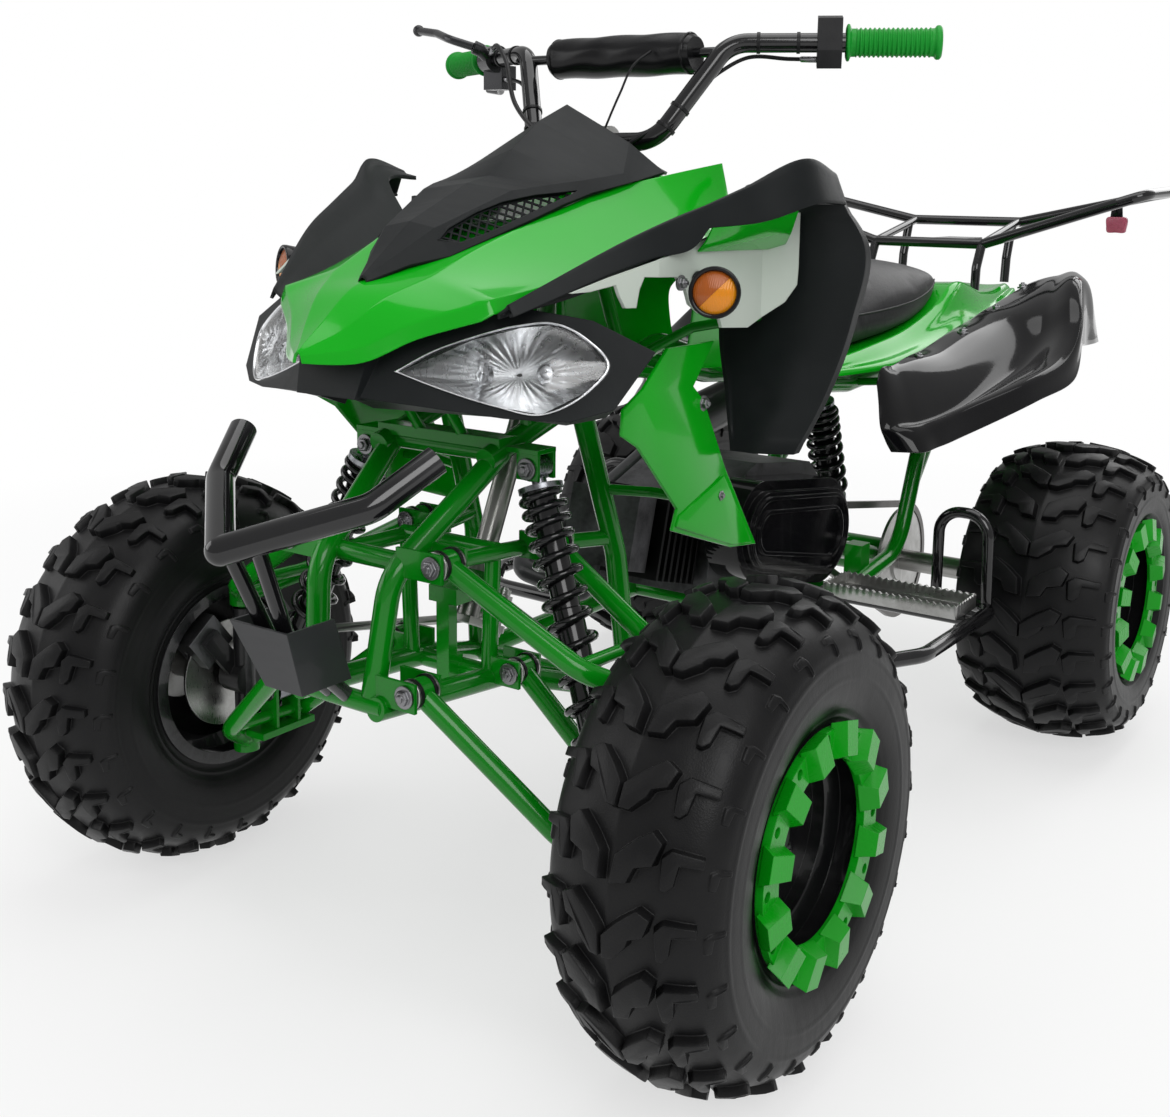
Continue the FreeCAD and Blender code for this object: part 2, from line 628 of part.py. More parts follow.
def frame():
    """Welded tube frame with its cross members, wishbone lugs and steering bearings."""
    pieces = frame_side()
    pieces += [mirrored(piece) for piece in frame_side()]
    lugs = arm_brackets()
    pieces += lugs + [mirrored(lug) for lug in lugs]
    pieces += [
        cross_tube(station(-668), 323, 60), cross_tube(station(-486), 305, 62), cross_tube(station(-505), 560, 80),
        cross_tube(station(-622), 460, 60), cross_tube(station(-500), 450, 68),
        cross_tube(station(-316), 254, 116), cross_tube(station(225), 251, 124), cross_tube(station(-386), 596, 98),
        cross_tube(station(55), 252, 122),
        cross_tube(station(300), 548, 92), cross_tube(station(620), 572, 98), cross_tube(station(962), 624, 92),
        rod(P(62, -500, 448), P(56, -500, 308), 9), rod(P(-62, -500, 448), P(-56, -500, 308), 9),
    ]
    bridge = block(P(-86, -520, 566), P(86, -490, 578))
    pieces.append(bridge)
    hanger = shock_hanger()
    pieces += hanger + [mirrored(piece) for piece in hanger]
    upper = COLUMN_FOOT + COLUMN_UP * 470
    lower = COLUMN_FOOT + COLUMN_UP * 26
    pieces.append(ring(upper, COLUMN_UP, COLUMN_RADIUS + 8, COLUMN_RADIUS + RUNNING_GAP, 34))
    pieces.append(ring(lower, COLUMN_UP, COLUMN_RADIUS + 8, COLUMN_RADIUS + RUNNING_GAP, 26))
    pieces.append(block((-20, -512, lower.z - 10), (20, lower.y - 14, lower.z + 8)))
    pieces.append(block(P(-9, -512, 290), P(9, -498, lower.z + 6)))
    pieces.append(block(P(-9, -504, 296), P(9, -488, 322)))
    for stay in stays(STAY_TUBE):
        pieces += [stay, mirrored(stay)]
    for side in (-1, 1):
        pieces.append(block((side * 112 - 14, SWINGARM_PIVOT.y - 15, 245), (side * 112 + 14, SWINGARM_PIVOT.y + 15, 302)))
    top = REAR_SHOCK_TOP
    pieces.append(cross_tube(top.y, 560, 90))
    for offset in (-15.5, 11.5):
        pieces.append(block((offset, top.y - 14, top.z - 12), (offset + 4, top.y + 14, 556)))
    pieces.append(rod(top - ACROSS * 15, top + ACROSS * 15, 5))
    pieces.append(rod(SWINGARM_PIVOT - ACROSS * 112, SWINGARM_PIVOT + ACROSS * 112, 7))
    for side in (-1, 1):
        pieces.append(rod(upper + ACROSS * (side * 17), P(side * 64, -262, 640), 8))
    whole = fused(pieces, False)
    bore = rod(COLUMN_FOOT - COLUMN_UP * 20, COLUMN_TOP, COLUMN_RADIUS + RUNNING_GAP)
    return whole.cut(bore)


def wishbone(front, rear, ball_z, pin_up):
    """Left wishbone: two pivot bushes, two tubes and the ball joint at the kingpin."""
    outer = V(KINGPIN_X, FRONT_AXLE_Y, ball_z)
    pieces = []
    for pivot, kink in ((front, 0.35), (rear, 0.25)):
        pieces.append(rod(V(pivot.x, pivot.y - 14, pivot.z), V(pivot.x, pivot.y + 14, pivot.z), 14))
        bend = pivot + (outer - pivot) * 0.72
        bend.y = pivot.y + (outer.y - pivot.y) * kink
        pieces.append(tube([pivot, bend, outer], ARM_TUBE, 60))
    pieces.append(rod(outer - UP * 11, outer + UP * 11, 16))
    brace_front = front + (outer - front) * 0.7
    brace_rear = rear + (outer - rear) * 0.7
    brace_front.y = front.y + (outer.y - front.y) * 0.34
    brace_rear.y = rear.y + (outer.y - rear.y) * 0.26
    pieces.append(rod(brace_front, brace_rear, 7))
    if pin_up:
        pieces.append(rod(outer, outer + UP * 60, 6))
    else:
        pieces.append(rod(outer, outer - UP * 38, 6))
    body = fused(pieces)
    for pivot in (front, rear):
        body = body.cut(rod(V(pivot.x, pivot.y - 24, pivot.z), V(pivot.x, pivot.y + 24, pivot.z), 5 + RUNNING_GAP))
    return body


def lower_arm():
    """Left lower wishbone with the bracket that carries the shock's foot."""
    body = wishbone(LOWER_PIVOT_FRONT, LOWER_PIVOT_REAR, LOWER_BALL_Z, True)
    foot = SHOCK_FOOT
    base_z = 196.0
    ears = []
    for offset in (-19, 15):
        ears.append(block((foot.x - 14, foot.y + offset, base_z), (foot.x + 14, foot.y + offset + 4, foot.z + 12)))
    bridge = block((foot.x - 16, foot.y - 42, base_z - 6), (foot.x + 14, foot.y + 40, base_z + 2))
    pin = rod(foot - BACK * 19, foot + BACK * 19, 5)
    return fused([body, bridge, pin] + ears)


def shock(top, foot, eye_axis, eye_width, body_radius):
    """A damper: eye, rod, body and spring seats between two points."""
    axis = (foot - top).normalize()
    length = (foot - top).Length
    start = top + axis * 12
    pieces = [
        ring(top, eye_axis, 14, 5 + RUNNING_GAP, eye_width),
        ring(foot, eye_axis, 14, 5 + RUNNING_GAP, eye_width),
        rod(start, top + axis * (length * 0.55), 8),
        rod(top + axis * (length * 0.45), foot - axis * 24, body_radius),
        rod(foot - axis * 26, foot - axis * 12, 9),
        rod(top + axis * 20, top + axis * 26, 24),
        rod(foot - axis * 40, foot - axis * 34, 24),
    ]
    whole = fused(pieces)
    for point in (top, foot):
        whole = whole.cut(rod(point - eye_axis * 30, point + eye_axis * 30, 5 + RUNNING_GAP))
    return whole


def spring(top, foot, radius, wire, turns):
    """A coil spring standing between a damper's two seats."""
    axis = (foot - top).normalize()
    length = (foot - top).Length
    low = 26 + wire
    high = length - 40 - wire
    pitch = (high - low) / turns
    helix = Part.makeHelix(pitch, high - low, radius)
    start = V(radius, 0, 0)
    profile = Part.Wire(Part.Circle(start, V(0, 1, 0), wire).toShape())
    coil = Part.Wire(helix.Edges).makePipeShell([profile], True, True)
    turn = FreeCAD.Rotation(UP, axis)
    coil.Placement = FreeCAD.Placement(top + axis * low, turn)
    return coil


def swingarm():
    """Rear swingarm with its pivot tube and the housing round the rear axle."""
    pivot = SWINGARM_PIVOT
    axle = V(0, REAR_AXLE_Y, REAR_RADIUS)
    foot = REAR_SHOCK_FOOT
    pieces = [rod(pivot - ACROSS * 78, pivot + ACROSS * 78, 15), rod(axle - ACROSS * 72, axle + ACROSS * 72, 30)]
    for side in (-1, 1):
        pieces.append(tube([pivot + ACROSS * (side * 62), P(side * 62, 420, 262), axle + ACROSS * (side * 60)], 14, 60))
    pieces.append(cross_tube(station(420), 262, 62, 11))
    for offset in (-15.5, 11.5):
        pieces.append(block((offset, 408, 255), (offset + 4, foot.y + 14, foot.z + 9)))
    pieces.append(rod(foot - ACROSS * 15, foot + ACROSS * 15, 5))
    pieces.append(block(P(-15.5, 455, 236), P(15.5, 500, 262)))
    whole = fused(pieces)
    whole = whole.cut(rod(pivot - ACROSS * 90, pivot + ACROSS * 90, 7 + RUNNING_GAP))
    return whole.cut(rod(axle - ACROSS * 120, axle + ACROSS * 120, 17 + RUNNING_GAP))


def rear_axle():
    """Solid rear axle with its sprocket, brake disc and two wheel hubs."""
    half = REAR_TRACK / 2
    centre = V(0, REAR_AXLE_Y, REAR_RADIUS)
    pieces = [rod(centre - ACROSS * (half + DISC_OFFSET + 14), centre + ACROSS * (half + DISC_OFFSET + 14), 17)]
    for side in (-1, 1):
        hub_end = centre + ACROSS * (side * (half + DISC_OFFSET))
        pieces.append(rod(centre + ACROSS * (side * (half - 60)), hub_end, HUB_RADIUS))
        pieces.append(rod(hub_end - ACROSS * (side * 6), hub_end, 50))
    sprocket = rod(centre + ACROSS * (CHAIN_X - 2.5), centre + ACROSS * (CHAIN_X + 2.5), SPROCKET_RADIUS - 5.5)
    carrier = rod(centre + ACROSS * 78, centre + ACROSS * (CHAIN_X + 6), 36)
    disc = rod(centre - ACROSS * (CHAIN_X + 2), centre - ACROSS * (CHAIN_X - 2), 88)
    disc_carrier = rod(centre - ACROSS * (CHAIN_X + 8), centre - ACROSS * 78, 36)
    return fused(pieces + [sprocket, carrier, disc, disc_carrier])


def chain_loop(outer, inner, low, high):
    """A band round both sprockets between two distances from the chain's line, from side to side."""
    rear = V(CHAIN_X, REAR_AXLE_Y, REAR_RADIUS)
    front = V(CHAIN_X, OUTPUT_Y, OUTPUT_Z)
    rear_r = SPROCKET_RADIUS
    front_r = OUTPUT_RADIUS
    line = front - rear
    angle = math.atan2(line.z, line.y)
    lean = math.acos((rear_r - front_r) / line.Length)

    def around(centre, radius, turn):
        return V(centre.x, centre.y + radius * math.cos(turn), centre.z + radius * math.sin(turn))

    def loop(grow):
        upper = angle - lean
        lower = angle + lean
        edges = [
            Part.LineSegment(around(rear, rear_r + grow, upper), around(front, front_r + grow, upper)).toShape(),
            Part.Arc(around(front, front_r + grow, upper), around(front, front_r + grow, angle),
                     around(front, front_r + grow, lower)).toShape(),
            Part.LineSegment(around(front, front_r + grow, lower), around(rear, rear_r + grow, lower)).toShape(),
            Part.Arc(around(rear, rear_r + grow, lower), around(rear, rear_r + grow, angle + math.pi),
                     around(rear, rear_r + grow, upper)).toShape(),
        ]
        return Part.Face(Part.Wire(edges))

    band = loop(outer)
    if inner is not None:
        band = band.cut(loop(inner))
    return band.extrude(ACROSS * (high - low)).translated(V(low, 0, 0))


def chain():
    """Drive chain as one closed loop round the two sprockets."""
    return chain_loop(5.5, -5, -4, 4)


# Engine

def engine():
    """Crankcase with a lying finned cylinder, its head and its mounts."""
    profile = [P(-96, -70, 300), P(-96, -60, 420), P(-96, 60, 462), P(-96, 220, 440), P(-96, 296, 372),
               P(-96, 290, 304), P(-96, 180, 276), P(-96, 20, 272)]
    case = Part.Face(Part.makePolygon(profile + [profile[0]])).extrude(ACROSS * (CASE_SIDE + 96))
    output = V(CASE_SIDE - 2, OUTPUT_Y, OUTPUT_Z)
    pieces = [case, rod(P(0, -60, 372), P(0, -190, 408), 44), rod(output, output + ACROSS * 20, 12),
              rod(V(CHAIN_X - 2.5, OUTPUT_Y, OUTPUT_Z), V(CHAIN_X + 2.5, OUTPUT_Y, OUTPUT_Z), OUTPUT_RADIUS - 5.5)]
    turn = -math.degrees(math.atan2(CYLINDER_AXIS.z, -CYLINDER_AXIS.y))
    for index in range(7):
        fin = block((-62, -5, -58), (62, 0, 58))
        fin.rotate(V(0, 0, 0), ACROSS, turn)
        fin.translate(CYLINDER_FOOT + CYLINDER_AXIS * (index * 15.0))
        pieces.append(fin)
    head = block((-52, -40, -50), (52, 0, 50))
    head.rotate(V(0, 0, 0), ACROSS, turn)
    head.translate(CYLINDER_FOOT + CYLINDER_AXIS * 108)
    pieces.append(head)
    pieces.append(block(P(-60, 40, 262.8), P(60, 70, 290)))
    return fused(pieces)


def oval(low, high, shrink):
    """A stadium-shaped block from side to side, smaller all round by the given wall."""
    front = P(low, -10, 386)
    rear = V(low, OUTPUT_Y, OUTPUT_Z)
    width = ACROSS * (high - low)
    front_r = 68.0 - shrink
    rear_r = 76.0 - shrink
    line = rear - front
    rise = ACROSS.cross(line).normalize()
    if rise.z < 0:
        rise = -rise
    web = Part.Face(Part.makePolygon([front + rise * front_r, rear + rise * rear_r, rear - rise * rear_r,
                                      front - rise * front_r, front + rise * front_r])).extrude(width)
    return fused([rod(front, front + width, front_r), rod(rear, rear + width, rear_r), web])


def engine_cover():
    """Hollow oval side cover on the left of the crankcase, slotted where the chain leaves it."""
    face_x = CASE_SIDE + RUNNING_GAP
    crown = oval(face_x + 46, face_x + 58, 14)
    ribs = [oval(face_x + 56, face_x + 61, shrink).cut(oval(face_x + 55, face_x + 62, shrink + 5)) for shrink in (20, 38)]
    shell = fused([oval(face_x, face_x + 48, 0), crown] + ribs)
    shell = shell.cut(oval(face_x - 1, face_x + 40, 5))
    return shell.cut(chain_loop(12, None, -9, 9))


def exhaust():
    """Header pipe along the right side with a round silencer."""
    port = CYLINDER_FOOT + CYLINDER_AXIS * 128 + CYLINDER_DOWN * (50 + RUNNING_GAP) - ACROSS * 20
    path = [port, port + CYLINDER_DOWN * 40, P(-150, -190, 330), P(-160, 40, 400), P(-176, 250, 460)]
    pipe = tube(path, 14, 36)
    can = rod(P(-176, 246, 459), P(-180, 560, 500), 36)
    tip = rod(P(-180, 550, 498), P(-181, 590, 504), 14)
    hanger = rod(P(-178, 430, 483), P(-94, 430, 557), 5)
    return fused([pipe, can, tip, hanger]).cut(mirrored(top_tube(FRAME_TUBE + RUNNING_GAP)))


# Bodywork

def shell_sections(stations, wall):
    """Thin closed outlines from open ones, each drawn from the left edge over to the right edge."""
    sections = []
    for along, half in stations:
        outer = [P(x, along, z) for x, z in half]
        outer += [P(-x, along, z) for x, z in reversed(half) if x > 0]
        inner = []
        for point in reversed(outer):
            inward = wall if point.x < 0 else -wall
            shift = inward if abs(point.x) > wall * 2 else 0
            inner.append(P(point.x + shift * 0.5, along, point.z - wall))
        sections.append(outer + inner)
    return sections


def front_fairing():
    """Painted nose and bonnet shell, with a ridge up the nose and wide shoulders."""
    stations = [
        (-722, [(4, 676), (0, 678)]),
        (-690, [(43, 678), (0, 702)]),
        (-648, [(88, 702), (48, 724), (0, 735)]),
        (-600, [(FLARE_ROWS[0][3][0] - RUNNING_GAP, 718), (70, 748), (0, 752)]),
        (-470, [(FLARE_ROWS[1][3][0] - RUNNING_GAP, 789), (94, 802), (0, 800)]),
        (-360, [(FLARE_ROWS[4][3][0] - RUNNING_GAP, 831), (116, 838), (0, 800)]),
        (-300, [(222, 846), (142, 852), (0, 800)]),
        (-210, [(168, 864), (146, 868), (0, 800)]),
    ]
    filled = []
    for along, half in stations[1:]:
        points = list(half)
        while len(points) < 3:
            points.insert(1, ((points[0][0] + points[-1][0]) / 2, (points[0][1] + points[-1][1]) / 2))
        filled.append((along, points))
    shell = loft(shell_sections(filled, PLASTIC), ruled=True)
    tip = P(0, -722, 678)
    first = [P(43, -690, 678), P(0, -690, 702), P(-43, -690, 678), P(-40, -690, 672), P(40, -690, 672)]
    small = [tip + (point - tip) * 0.04 for point in first]
    pieces = [shell, loft([first, small], ruled=True)]
    for side in (-1, 1):
        pieces.append(rod(P(side * 78, -465, 790), P(side * 78, -465, 801), STAY_TUBE + 3))
    body = fused(pieces)
    for side in (-1, 1):
        body = body.cut(rod(P(side * 76, -400, 780), P(side * 76, -400, 840), STAY_TUBE + 2))
    return body.cut(rod(COLUMN_FOOT, COLUMN_TOP, COLUMN_RADIUS + 10))


def lamp_point(along, up, push):
    """A point in the left lamp's own plane: along from its inner corner, up the lens, pushed forwards."""
    return LAMP_CORNER + LAMP_ALONG * along + LAMP_RISE * up + LAMP_FACE * push


def lamp_outline(corners, grow, push):
    """The corners as points in the lamp's plane, moved away from the lens's middle."""
    points = []
    for along, up in corners:
        away = V(along - LAMP_MIDDLE, up, 0)
        away = away * (1 + grow / away.Length)
        points.append(lamp_point(away.x + LAMP_MIDDLE, away.y, push))
    return points


def lamp_form(front_grow, rear_grow, front, rear):
    """A tapered solid with the lens's outline."""
    return loft([lamp_outline(LENS_CORNERS, front_grow, front), lamp_outline(LENS_CORNERS, rear_grow, rear)], ruled=True)


def headlamp():
    """Left headlamp body with its clear lens form."""
    return lamp_form(-1, -20, 5, -42)


def nose_surround():
    """Black surround of both headlamps, with the chin that joins them under the nose."""
    left = loft([lamp_outline(SURROUND_CORNERS, 0, 2), lamp_outline(SURROUND_CORNERS, -14, -46)], ruled=True)
    slope = 19.0 / 47.0
    pocket = lamp_form(-1 + RUNNING_GAP + 4 * slope, -20 + RUNNING_GAP - slope, 9, -43)
    chin = loft([[P(46, -672, 676), P(-46, -672, 676), P(-40, -684, 634), P(40, -684, 634)],
                 [P(46, -600, 676), P(-46, -600, 676), P(-40, -606, 622), P(40, -606, 622)]], ruled=True)
    whole = fused([chin, left, mirrored(left)])
    whole = whole.cut(pocket).cut(mirrored(pocket))
    socket = stays(STAY_TUBE + RUNNING_GAP)[0]
    tip = Part.makeSphere(STAY_TUBE + RUNNING_GAP, P(30, -620, 652))
    return whole.cut(socket).cut(mirrored(socket)).cut(tip).cut(mirrored(tip))


def grille_point(along, up, depth):
    """A point of the left grille's plane, on the flank of the cowl: back along it, up it, and into it."""
    return GRILLE_CORNER + GRILLE_ALONG * along + GRILLE_UP * up - GRILLE_OUT * depth


def grille_form(grow, start, end):
    """A block on the grille's outline, from one depth to another."""
    length = max(along for along, up in GRILLE_CORNERS)
    height = max(up for along, up in GRILLE_CORNERS)
    points = []
    for along, up in GRILLE_CORNERS:
        points.append(grille_point(along + grow * (2 * along / length - 1), up + grow * (2 * up / height - 1), start))
    face = Part.Face(Part.makePolygon(points + [points[0]]))
    return face.extrude(GRILLE_OUT * (start - end))


def cowl_grille():
    """Left mesh at the bottom of the cowl's recess: a thin plate with rows of diamond holes."""
    sheet = grille_form(2, GRILLE_DEPTH, GRILLE_DEPTH + GRILLE_SHEET)
    window = grille_form(-1.5, GRILLE_DEPTH - 2, GRILLE_DEPTH + GRILLE_SHEET + 2)
    holes = []
    half = MESH_PITCH / 2 - MESH_BAR * 0.7
    for row in range(MESH_ROWS):
        for column in range(MESH_COLUMNS):
            along = (column + 0.5 * (row % 2)) * MESH_PITCH
            up = row * MESH_PITCH / 2
            corners = [(along - half, up), (along, up - half), (along + half, up), (along, up + half)]
            points = [grille_point(x, z, GRILLE_DEPTH - 1) for x, z in corners]
            face = Part.Face(Part.makePolygon(points + [points[0]]))
            hole = face.extrude(GRILLE_OUT * -(GRILLE_SHEET + 2)).common(window)
            if hole.Volume > 12:
                holes.append(hole)
    return sheet.cut(Part.makeCompound(holes))


def dash_cowl():
    """Black cap over the bonnet: beak, recessed grille windows and raised screen."""
    stations = [
        (-630, [(6, 744), (4, 748), (0, 750)]),
        (-592, [(30, 760), (20, 774), (0, 778)]),
        (-560, [(56, 768.6), (34, 796), (0, 802)]),
        (-469, [(92, 805.4), (62, 834), (0, 841)]),
        (-430, [(103, 820.4), (82, 840), (0, 849)]),
        (-391, [(111, 832), (98, 845), (0, 879)]),
        (-340, [(127, 843), (116, 853), (0, 912)]),
        (-288, [(136, 855), (88, 888), (0, 932)]),
        (-272, [(130, 855), (82, 876), (0, 920)]),
    ]
    shell = loft(shell_sections(stations, PLASTIC), ruled=True)
    rim = grille_form(2.5, 0, GRILLE_DEPTH)
    window = grille_form(0, -40, GRILLE_DEPTH + 12)
    pieces = [shell]
    pieces += [rod(P(side * 76, -400, 825), P(side * 76, -400, 842), STAY_TUBE + 1) for side in (-1, 1)]
    pieces += [rim, mirrored(rim)]
    seat = grille_form(2 + RUNNING_GAP, GRILLE_DEPTH, GRILLE_DEPTH + 12)
    whole = fused(pieces).cut(window).cut(mirrored(window)).cut(seat).cut(mirrored(seat))
    return largest(whole.cut(front_fairing().translated(UP * RUNNING_GAP)))


def splash_panel():
    """Left splash panel as a thin wall through stations from its top to its foot."""
    rows = [
        (821.5, [(232, -214), (290, -216), (318, -207), (316, -196)]),
        (778, [(200, -206), (300, -205), (336, -190), (334, -172)]),
        (694, [(164, -204), (280, -205), (326, -192), (324, -172)]),
        (600, [(186, -226), (260, -226), (300, -207), (299, -190)]),
        (540, [(206, -246), (250, -240), (276, -224), (276, -210)]),
    ]
    sections = []
    for height, line in rows:
        outer = [P(x, y, height) for x, y in line]
        inner = [V(x - (4 if index else 0), y + 4, height) for index, (x, y) in reversed(list(enumerate(line)))]
        sections.append(outer + inner)
    return loft(sections, ruled=True)


def flare():
    """Left flare strip along the bonnet's edge, from its point at the nose to its peak."""
    sections = []
    for along, crest, low, inner in FLARE_ROWS:
        outer = [inner, crest, low]
        wall = [(low[0] - 4, low[1]), (crest[0] - 4, crest[1] - 5), (inner[0], inner[1] - 5)]
        sections.append([P(x, along, z) for x, z in outer + wall])
    return loft(sections, ruled=True)


def side_panel():
    """Left painted leg shield between the lamp and the splash panel."""
    outline = [(-403, 673), (-449, 635), (-485, 618), (-487, 591), (-457, 575), (-378, 496), (-388, 474),
               (-259, 430), (-199, 422), (-276, 525), (-327, 609), (-350, 627), (-308, 673)]
    points = [P(214, y, z) for y, z in outline]
    face = Part.Face(Part.makePolygon(points + [points[0]]))
    return face.extrude(ACROSS * 4)


def folded_wall(plan, thickness, low, high):
    """An upright wall along plan points, thickened towards the middle of the bike."""
    outer = [P(x, y, low) for x, y in plan]
    inner = [P(x - thickness, y, low) for x, y in reversed(plan)]
    return Part.Face(Part.makePolygon(outer + inner + [outer[0]])).extrude(UP * (high - low))


def fender_liner():
    """Left pale inner wall of the front wheel arch: a notched strip with a tab, and a lobe at the rear."""
    outline = [(-558, 738), (-540, 739), (-514, 745), (-510, 734), (-504, 722), (-493, 722), (-490, 740), (-485, 752),
               (-437, 750), (-419, 736), (-411, 721), (-390, 710), (-351, 705), (-344, 692), (-289, 688), (-261, 696),
               (-232, 713), (-218, 732), (-217, 751), (-217, 812), (-262, 812), (-340, 796), (-470, 768), (-520, 752)]
    points = [P(150, y, z) for y, z in outline]
    curtain = Part.Face(Part.makePolygon(points + [points[0]])).extrude(ACROSS * 150)
    wall = folded_wall(LINER_PLAN, 4, 680, 830)
    return largest(wall.common(curtain).cut(splash_panel()).cut(flare()))


def arch_return():
    """Left painted return under the flare's rear half, down to the liner."""
    rows = [(-402, 267.7, 799.3, 248, 774), (-360, 292, 803, 248, 773), (-280, 330, 824, 248, 769),
            (-260, 330.4, 823.2, 248, 767), (-226, 331, 822, 266, 759)]
    sections = []
    for along, top_x, top, foot_x, foot in rows:
        seat = foot_x + RUNNING_GAP
        lip = top - RUNNING_GAP
        sections.append([P(top_x - 1, along, lip), P(seat + 4, along, foot), P(seat, along, foot), P(top_x - 5, along, lip)])
    return loft(sections, ruled=True)


def turn_signal():
    """Left front turn signal on its stalk."""
    centre = P(300, -450, 738)
    axis = V(0.45, -0.88, 0.1).normalize()
    bowl = rod(centre - axis * 18, centre + axis * 8, 26)
    root = P(248 + RUNNING_GAP, -398, 742)
    elbow = root + ACROSS * 10
    stalk = [rod(root, elbow, 7), Part.makeSphere(7, elbow), rod(elbow, centre - axis * 14, 7)]
    washer = rod(root, root + ACROSS * 3, 13)
    return fused([bowl, washer] + stalk)


def tail_lamp():
    """Left reflector under the rack's wing."""
    lens = block(P(262, 984, 762), P(296, 992, 790))
    tab = block(P(272, 985, 789), P(286, 989, 820))
    return fused([lens, tab]).cut(rear_rack())


def rear_fender():
    """Left rear fender: bolted flange, deep scoop that climbs at the back, raised lip and outer skirt."""
    stations = [
        (200, [(190, 586), (196, 566), (206, 512), (224, 498), (245, 476)]),
        (250, [(186, 589), (200, 578), (226, 510), (248, 512), (264, 480)]),
        (300, [(180, 593), (203, 585), (240, 514), (266, 526), (280, 490)]),
        (420, [(168, 600.5), (208, 594), (268, 540), (322, 566), (342, 532)]),
        (520, [(166, 617), (208, 614), (282, 570), (342, 596), (364, 556)]),
        (600, [(166, 629), (208, 632), (282, 612), (336, 640), (348, 598)]),
        (640, [(168, 638), (208, 644), (276, 644), (325, 674), (338, 594)]),
        (690, [(170, 646), (208, 656), (262, 672), (310, 701), (329, 590)]),
        (760, [(173, 658), (206, 672), (246, 690), (290, 702), (316, 588)]),
        (800, [(182, 672), (203, 684), (236, 694), (272, 701), (303, 587)]),
    ]
    sections = []
    for along, line in stations:
        outer = [P(x, along, z) for x, z in line]
        inner = [P(x - 2.5, along, z - 3.5) for x, z in reversed(line)]
        sections.append(outer + inner)
    shell = loft(sections, ruled=True)
    front = rod(P(190, 320, 560), P(190, 320, 588), 8)
    rear = rod(P(196, 620, 586), P(196, 620, 635), 8)
    whole = fused([shell, front, rear])
    for stay in stays(STAY_TUBE + RUNNING_GAP)[-2:]:
        whole = whole.cut(stay)
    return whole


def tail_body():
    """Painted tail under the seat, from the tank to the rack."""
    stations = [
        (150, 122, 576, 98, 604), (320, 158, 576, 116, 644), (500, 164, 592, 128, 694),
        (640, 160, 606, 124, 676), (780, 148, 622, 116, 654), (860, 132, 634, 108, 656), (965, 112, 648, 96, 664),
    ]
    sections = []
    for along, foot, low, head, high in stations:
        wall = PLASTIC
        sections.append([P(foot, along, low), P(head, along, high), P(-head, along, high), P(-foot, along, low),
                         P(-foot + wall, along, low), P(-head + wall, along, high - wall),
                         P(head - wall, along, high - wall), P(foot - wall, along, low)])
    pieces = [loft(sections, ruled=True)]
    pieces.append(rib(420, [(108, 552), (160, 586), (122.5, 669)]))
    pieces.append(rib(860, [(100, 606), (130.5, 634.5), (107, 654.5)]))
    saddle = top_tube(FRAME_TUBE + RUNNING_GAP)
    return fused(pieces).cut(saddle).cut(mirrored(saddle))


def seat():
    """Seat cushion on the tail body."""
    stations = [(150, 84, 604, 738), (320, 100, 644, 724), (430, 112, 675, 720), (500, 112, 694, 718),
                (560, 108, 686.3, 716), (610, 96, 679.9, 708), (640, 82, 676, 695)]
    sections = []
    for along, half, low, high in stations:
        low += RUNNING_GAP
        mid = (low + high) / 2
        sections.append([P(half, along, low), P(half * 1.02, along, mid), P(half * 0.7, along, high),
                         P(-half * 0.7, along, high), P(-half * 1.02, along, mid), P(-half, along, low)])
    return loft(sections, ruled=True)


def tank_cover():
    """Painted cover between the steering column and the seat."""
    stations = [(-196, 112, 620, 70, 862), (-60, 108, 612, 66, 812), (104, 90, 606, 62, 756)]
    sections = []
    for along, foot, low, head, high in stations:
        sections.append([P(foot, along, low), P(foot + 14, along, (low + high) / 2), P(head, along, high),
                         P(-head, along, high), P(-foot - 14, along, (low + high) / 2), P(-foot, along, low),
                         P(-foot + 4, along, low), P(-foot - 10, along, (low + high) / 2), P(-head + 2, along, high - 4),
                         P(head - 2, along, high - 4), P(foot + 10, along, (low + high) / 2), P(foot - 4, along, low)])
    pieces = [loft(sections, ruled=True)]
    pieces.append(rib(-150, [(112, 640), (119, 700)]))
    pieces.append(rib(60, [(93, 612), (102.5, 666)]))
    saddle = top_tube(FRAME_TUBE + RUNNING_GAP)
    return fused(pieces).cut(saddle).cut(mirrored(saddle))


# Guards, rack and footwells

def bumper_strut(radius):
    """Left strut from the push bar down to the frame's front cross tube."""
    return tube([P(24, -798, 512), P(13, -750, 400), P(12, -668, 323)], radius, 50)


def front_bumper():
    """Push bar of two arms from the middle, with its struts down to the frame."""
    junction = V(0, FRONT_END + BUMPER_TUBE, 506)
    bend = P(105, -729, 545)
    end = P(134, -672, 585)
    arm = tube([junction, bend, end], BUMPER_TUBE, 40)
    strut = bumper_strut(8)
    whole = fused([arm, mirrored(arm), Part.makeSphere(BUMPER_TUBE, junction), strut, mirrored(strut)])
    back = (bend - end).normalize()
    bore = rod(end - back * 2, end + back * 46, BUMPER_TUBE - TUBE_WALL)
    whole = whole.cut(bore).cut(mirrored(bore))
    return whole.cut(cross_tube(station(-668), 323, 60, CROSS_TUBE + RUNNING_GAP))


def skid_plate():
    """Folded channel plate under the bumper."""
    wall = 3.0
    sections = []
    for height, half, front, back in ((423, 40, -778, -716), (350, 26, -747, -680)):
        outline = [(half, back), (half, front), (-half, front), (-half, back), (wall - half, back),
                   (wall - half, front + wall), (half - wall, front + wall), (half - wall, back)]
        sections.append([P(x, y, height) for x, y in outline])
    web = block(P(-30, -762, 392), P(30, -742, 398))
    whole = fused([loft(sections, ruled=True), web])
    passage = bumper_strut(8 + RUNNING_GAP)
    return whole.cut(passage).cut(mirrored(passage))


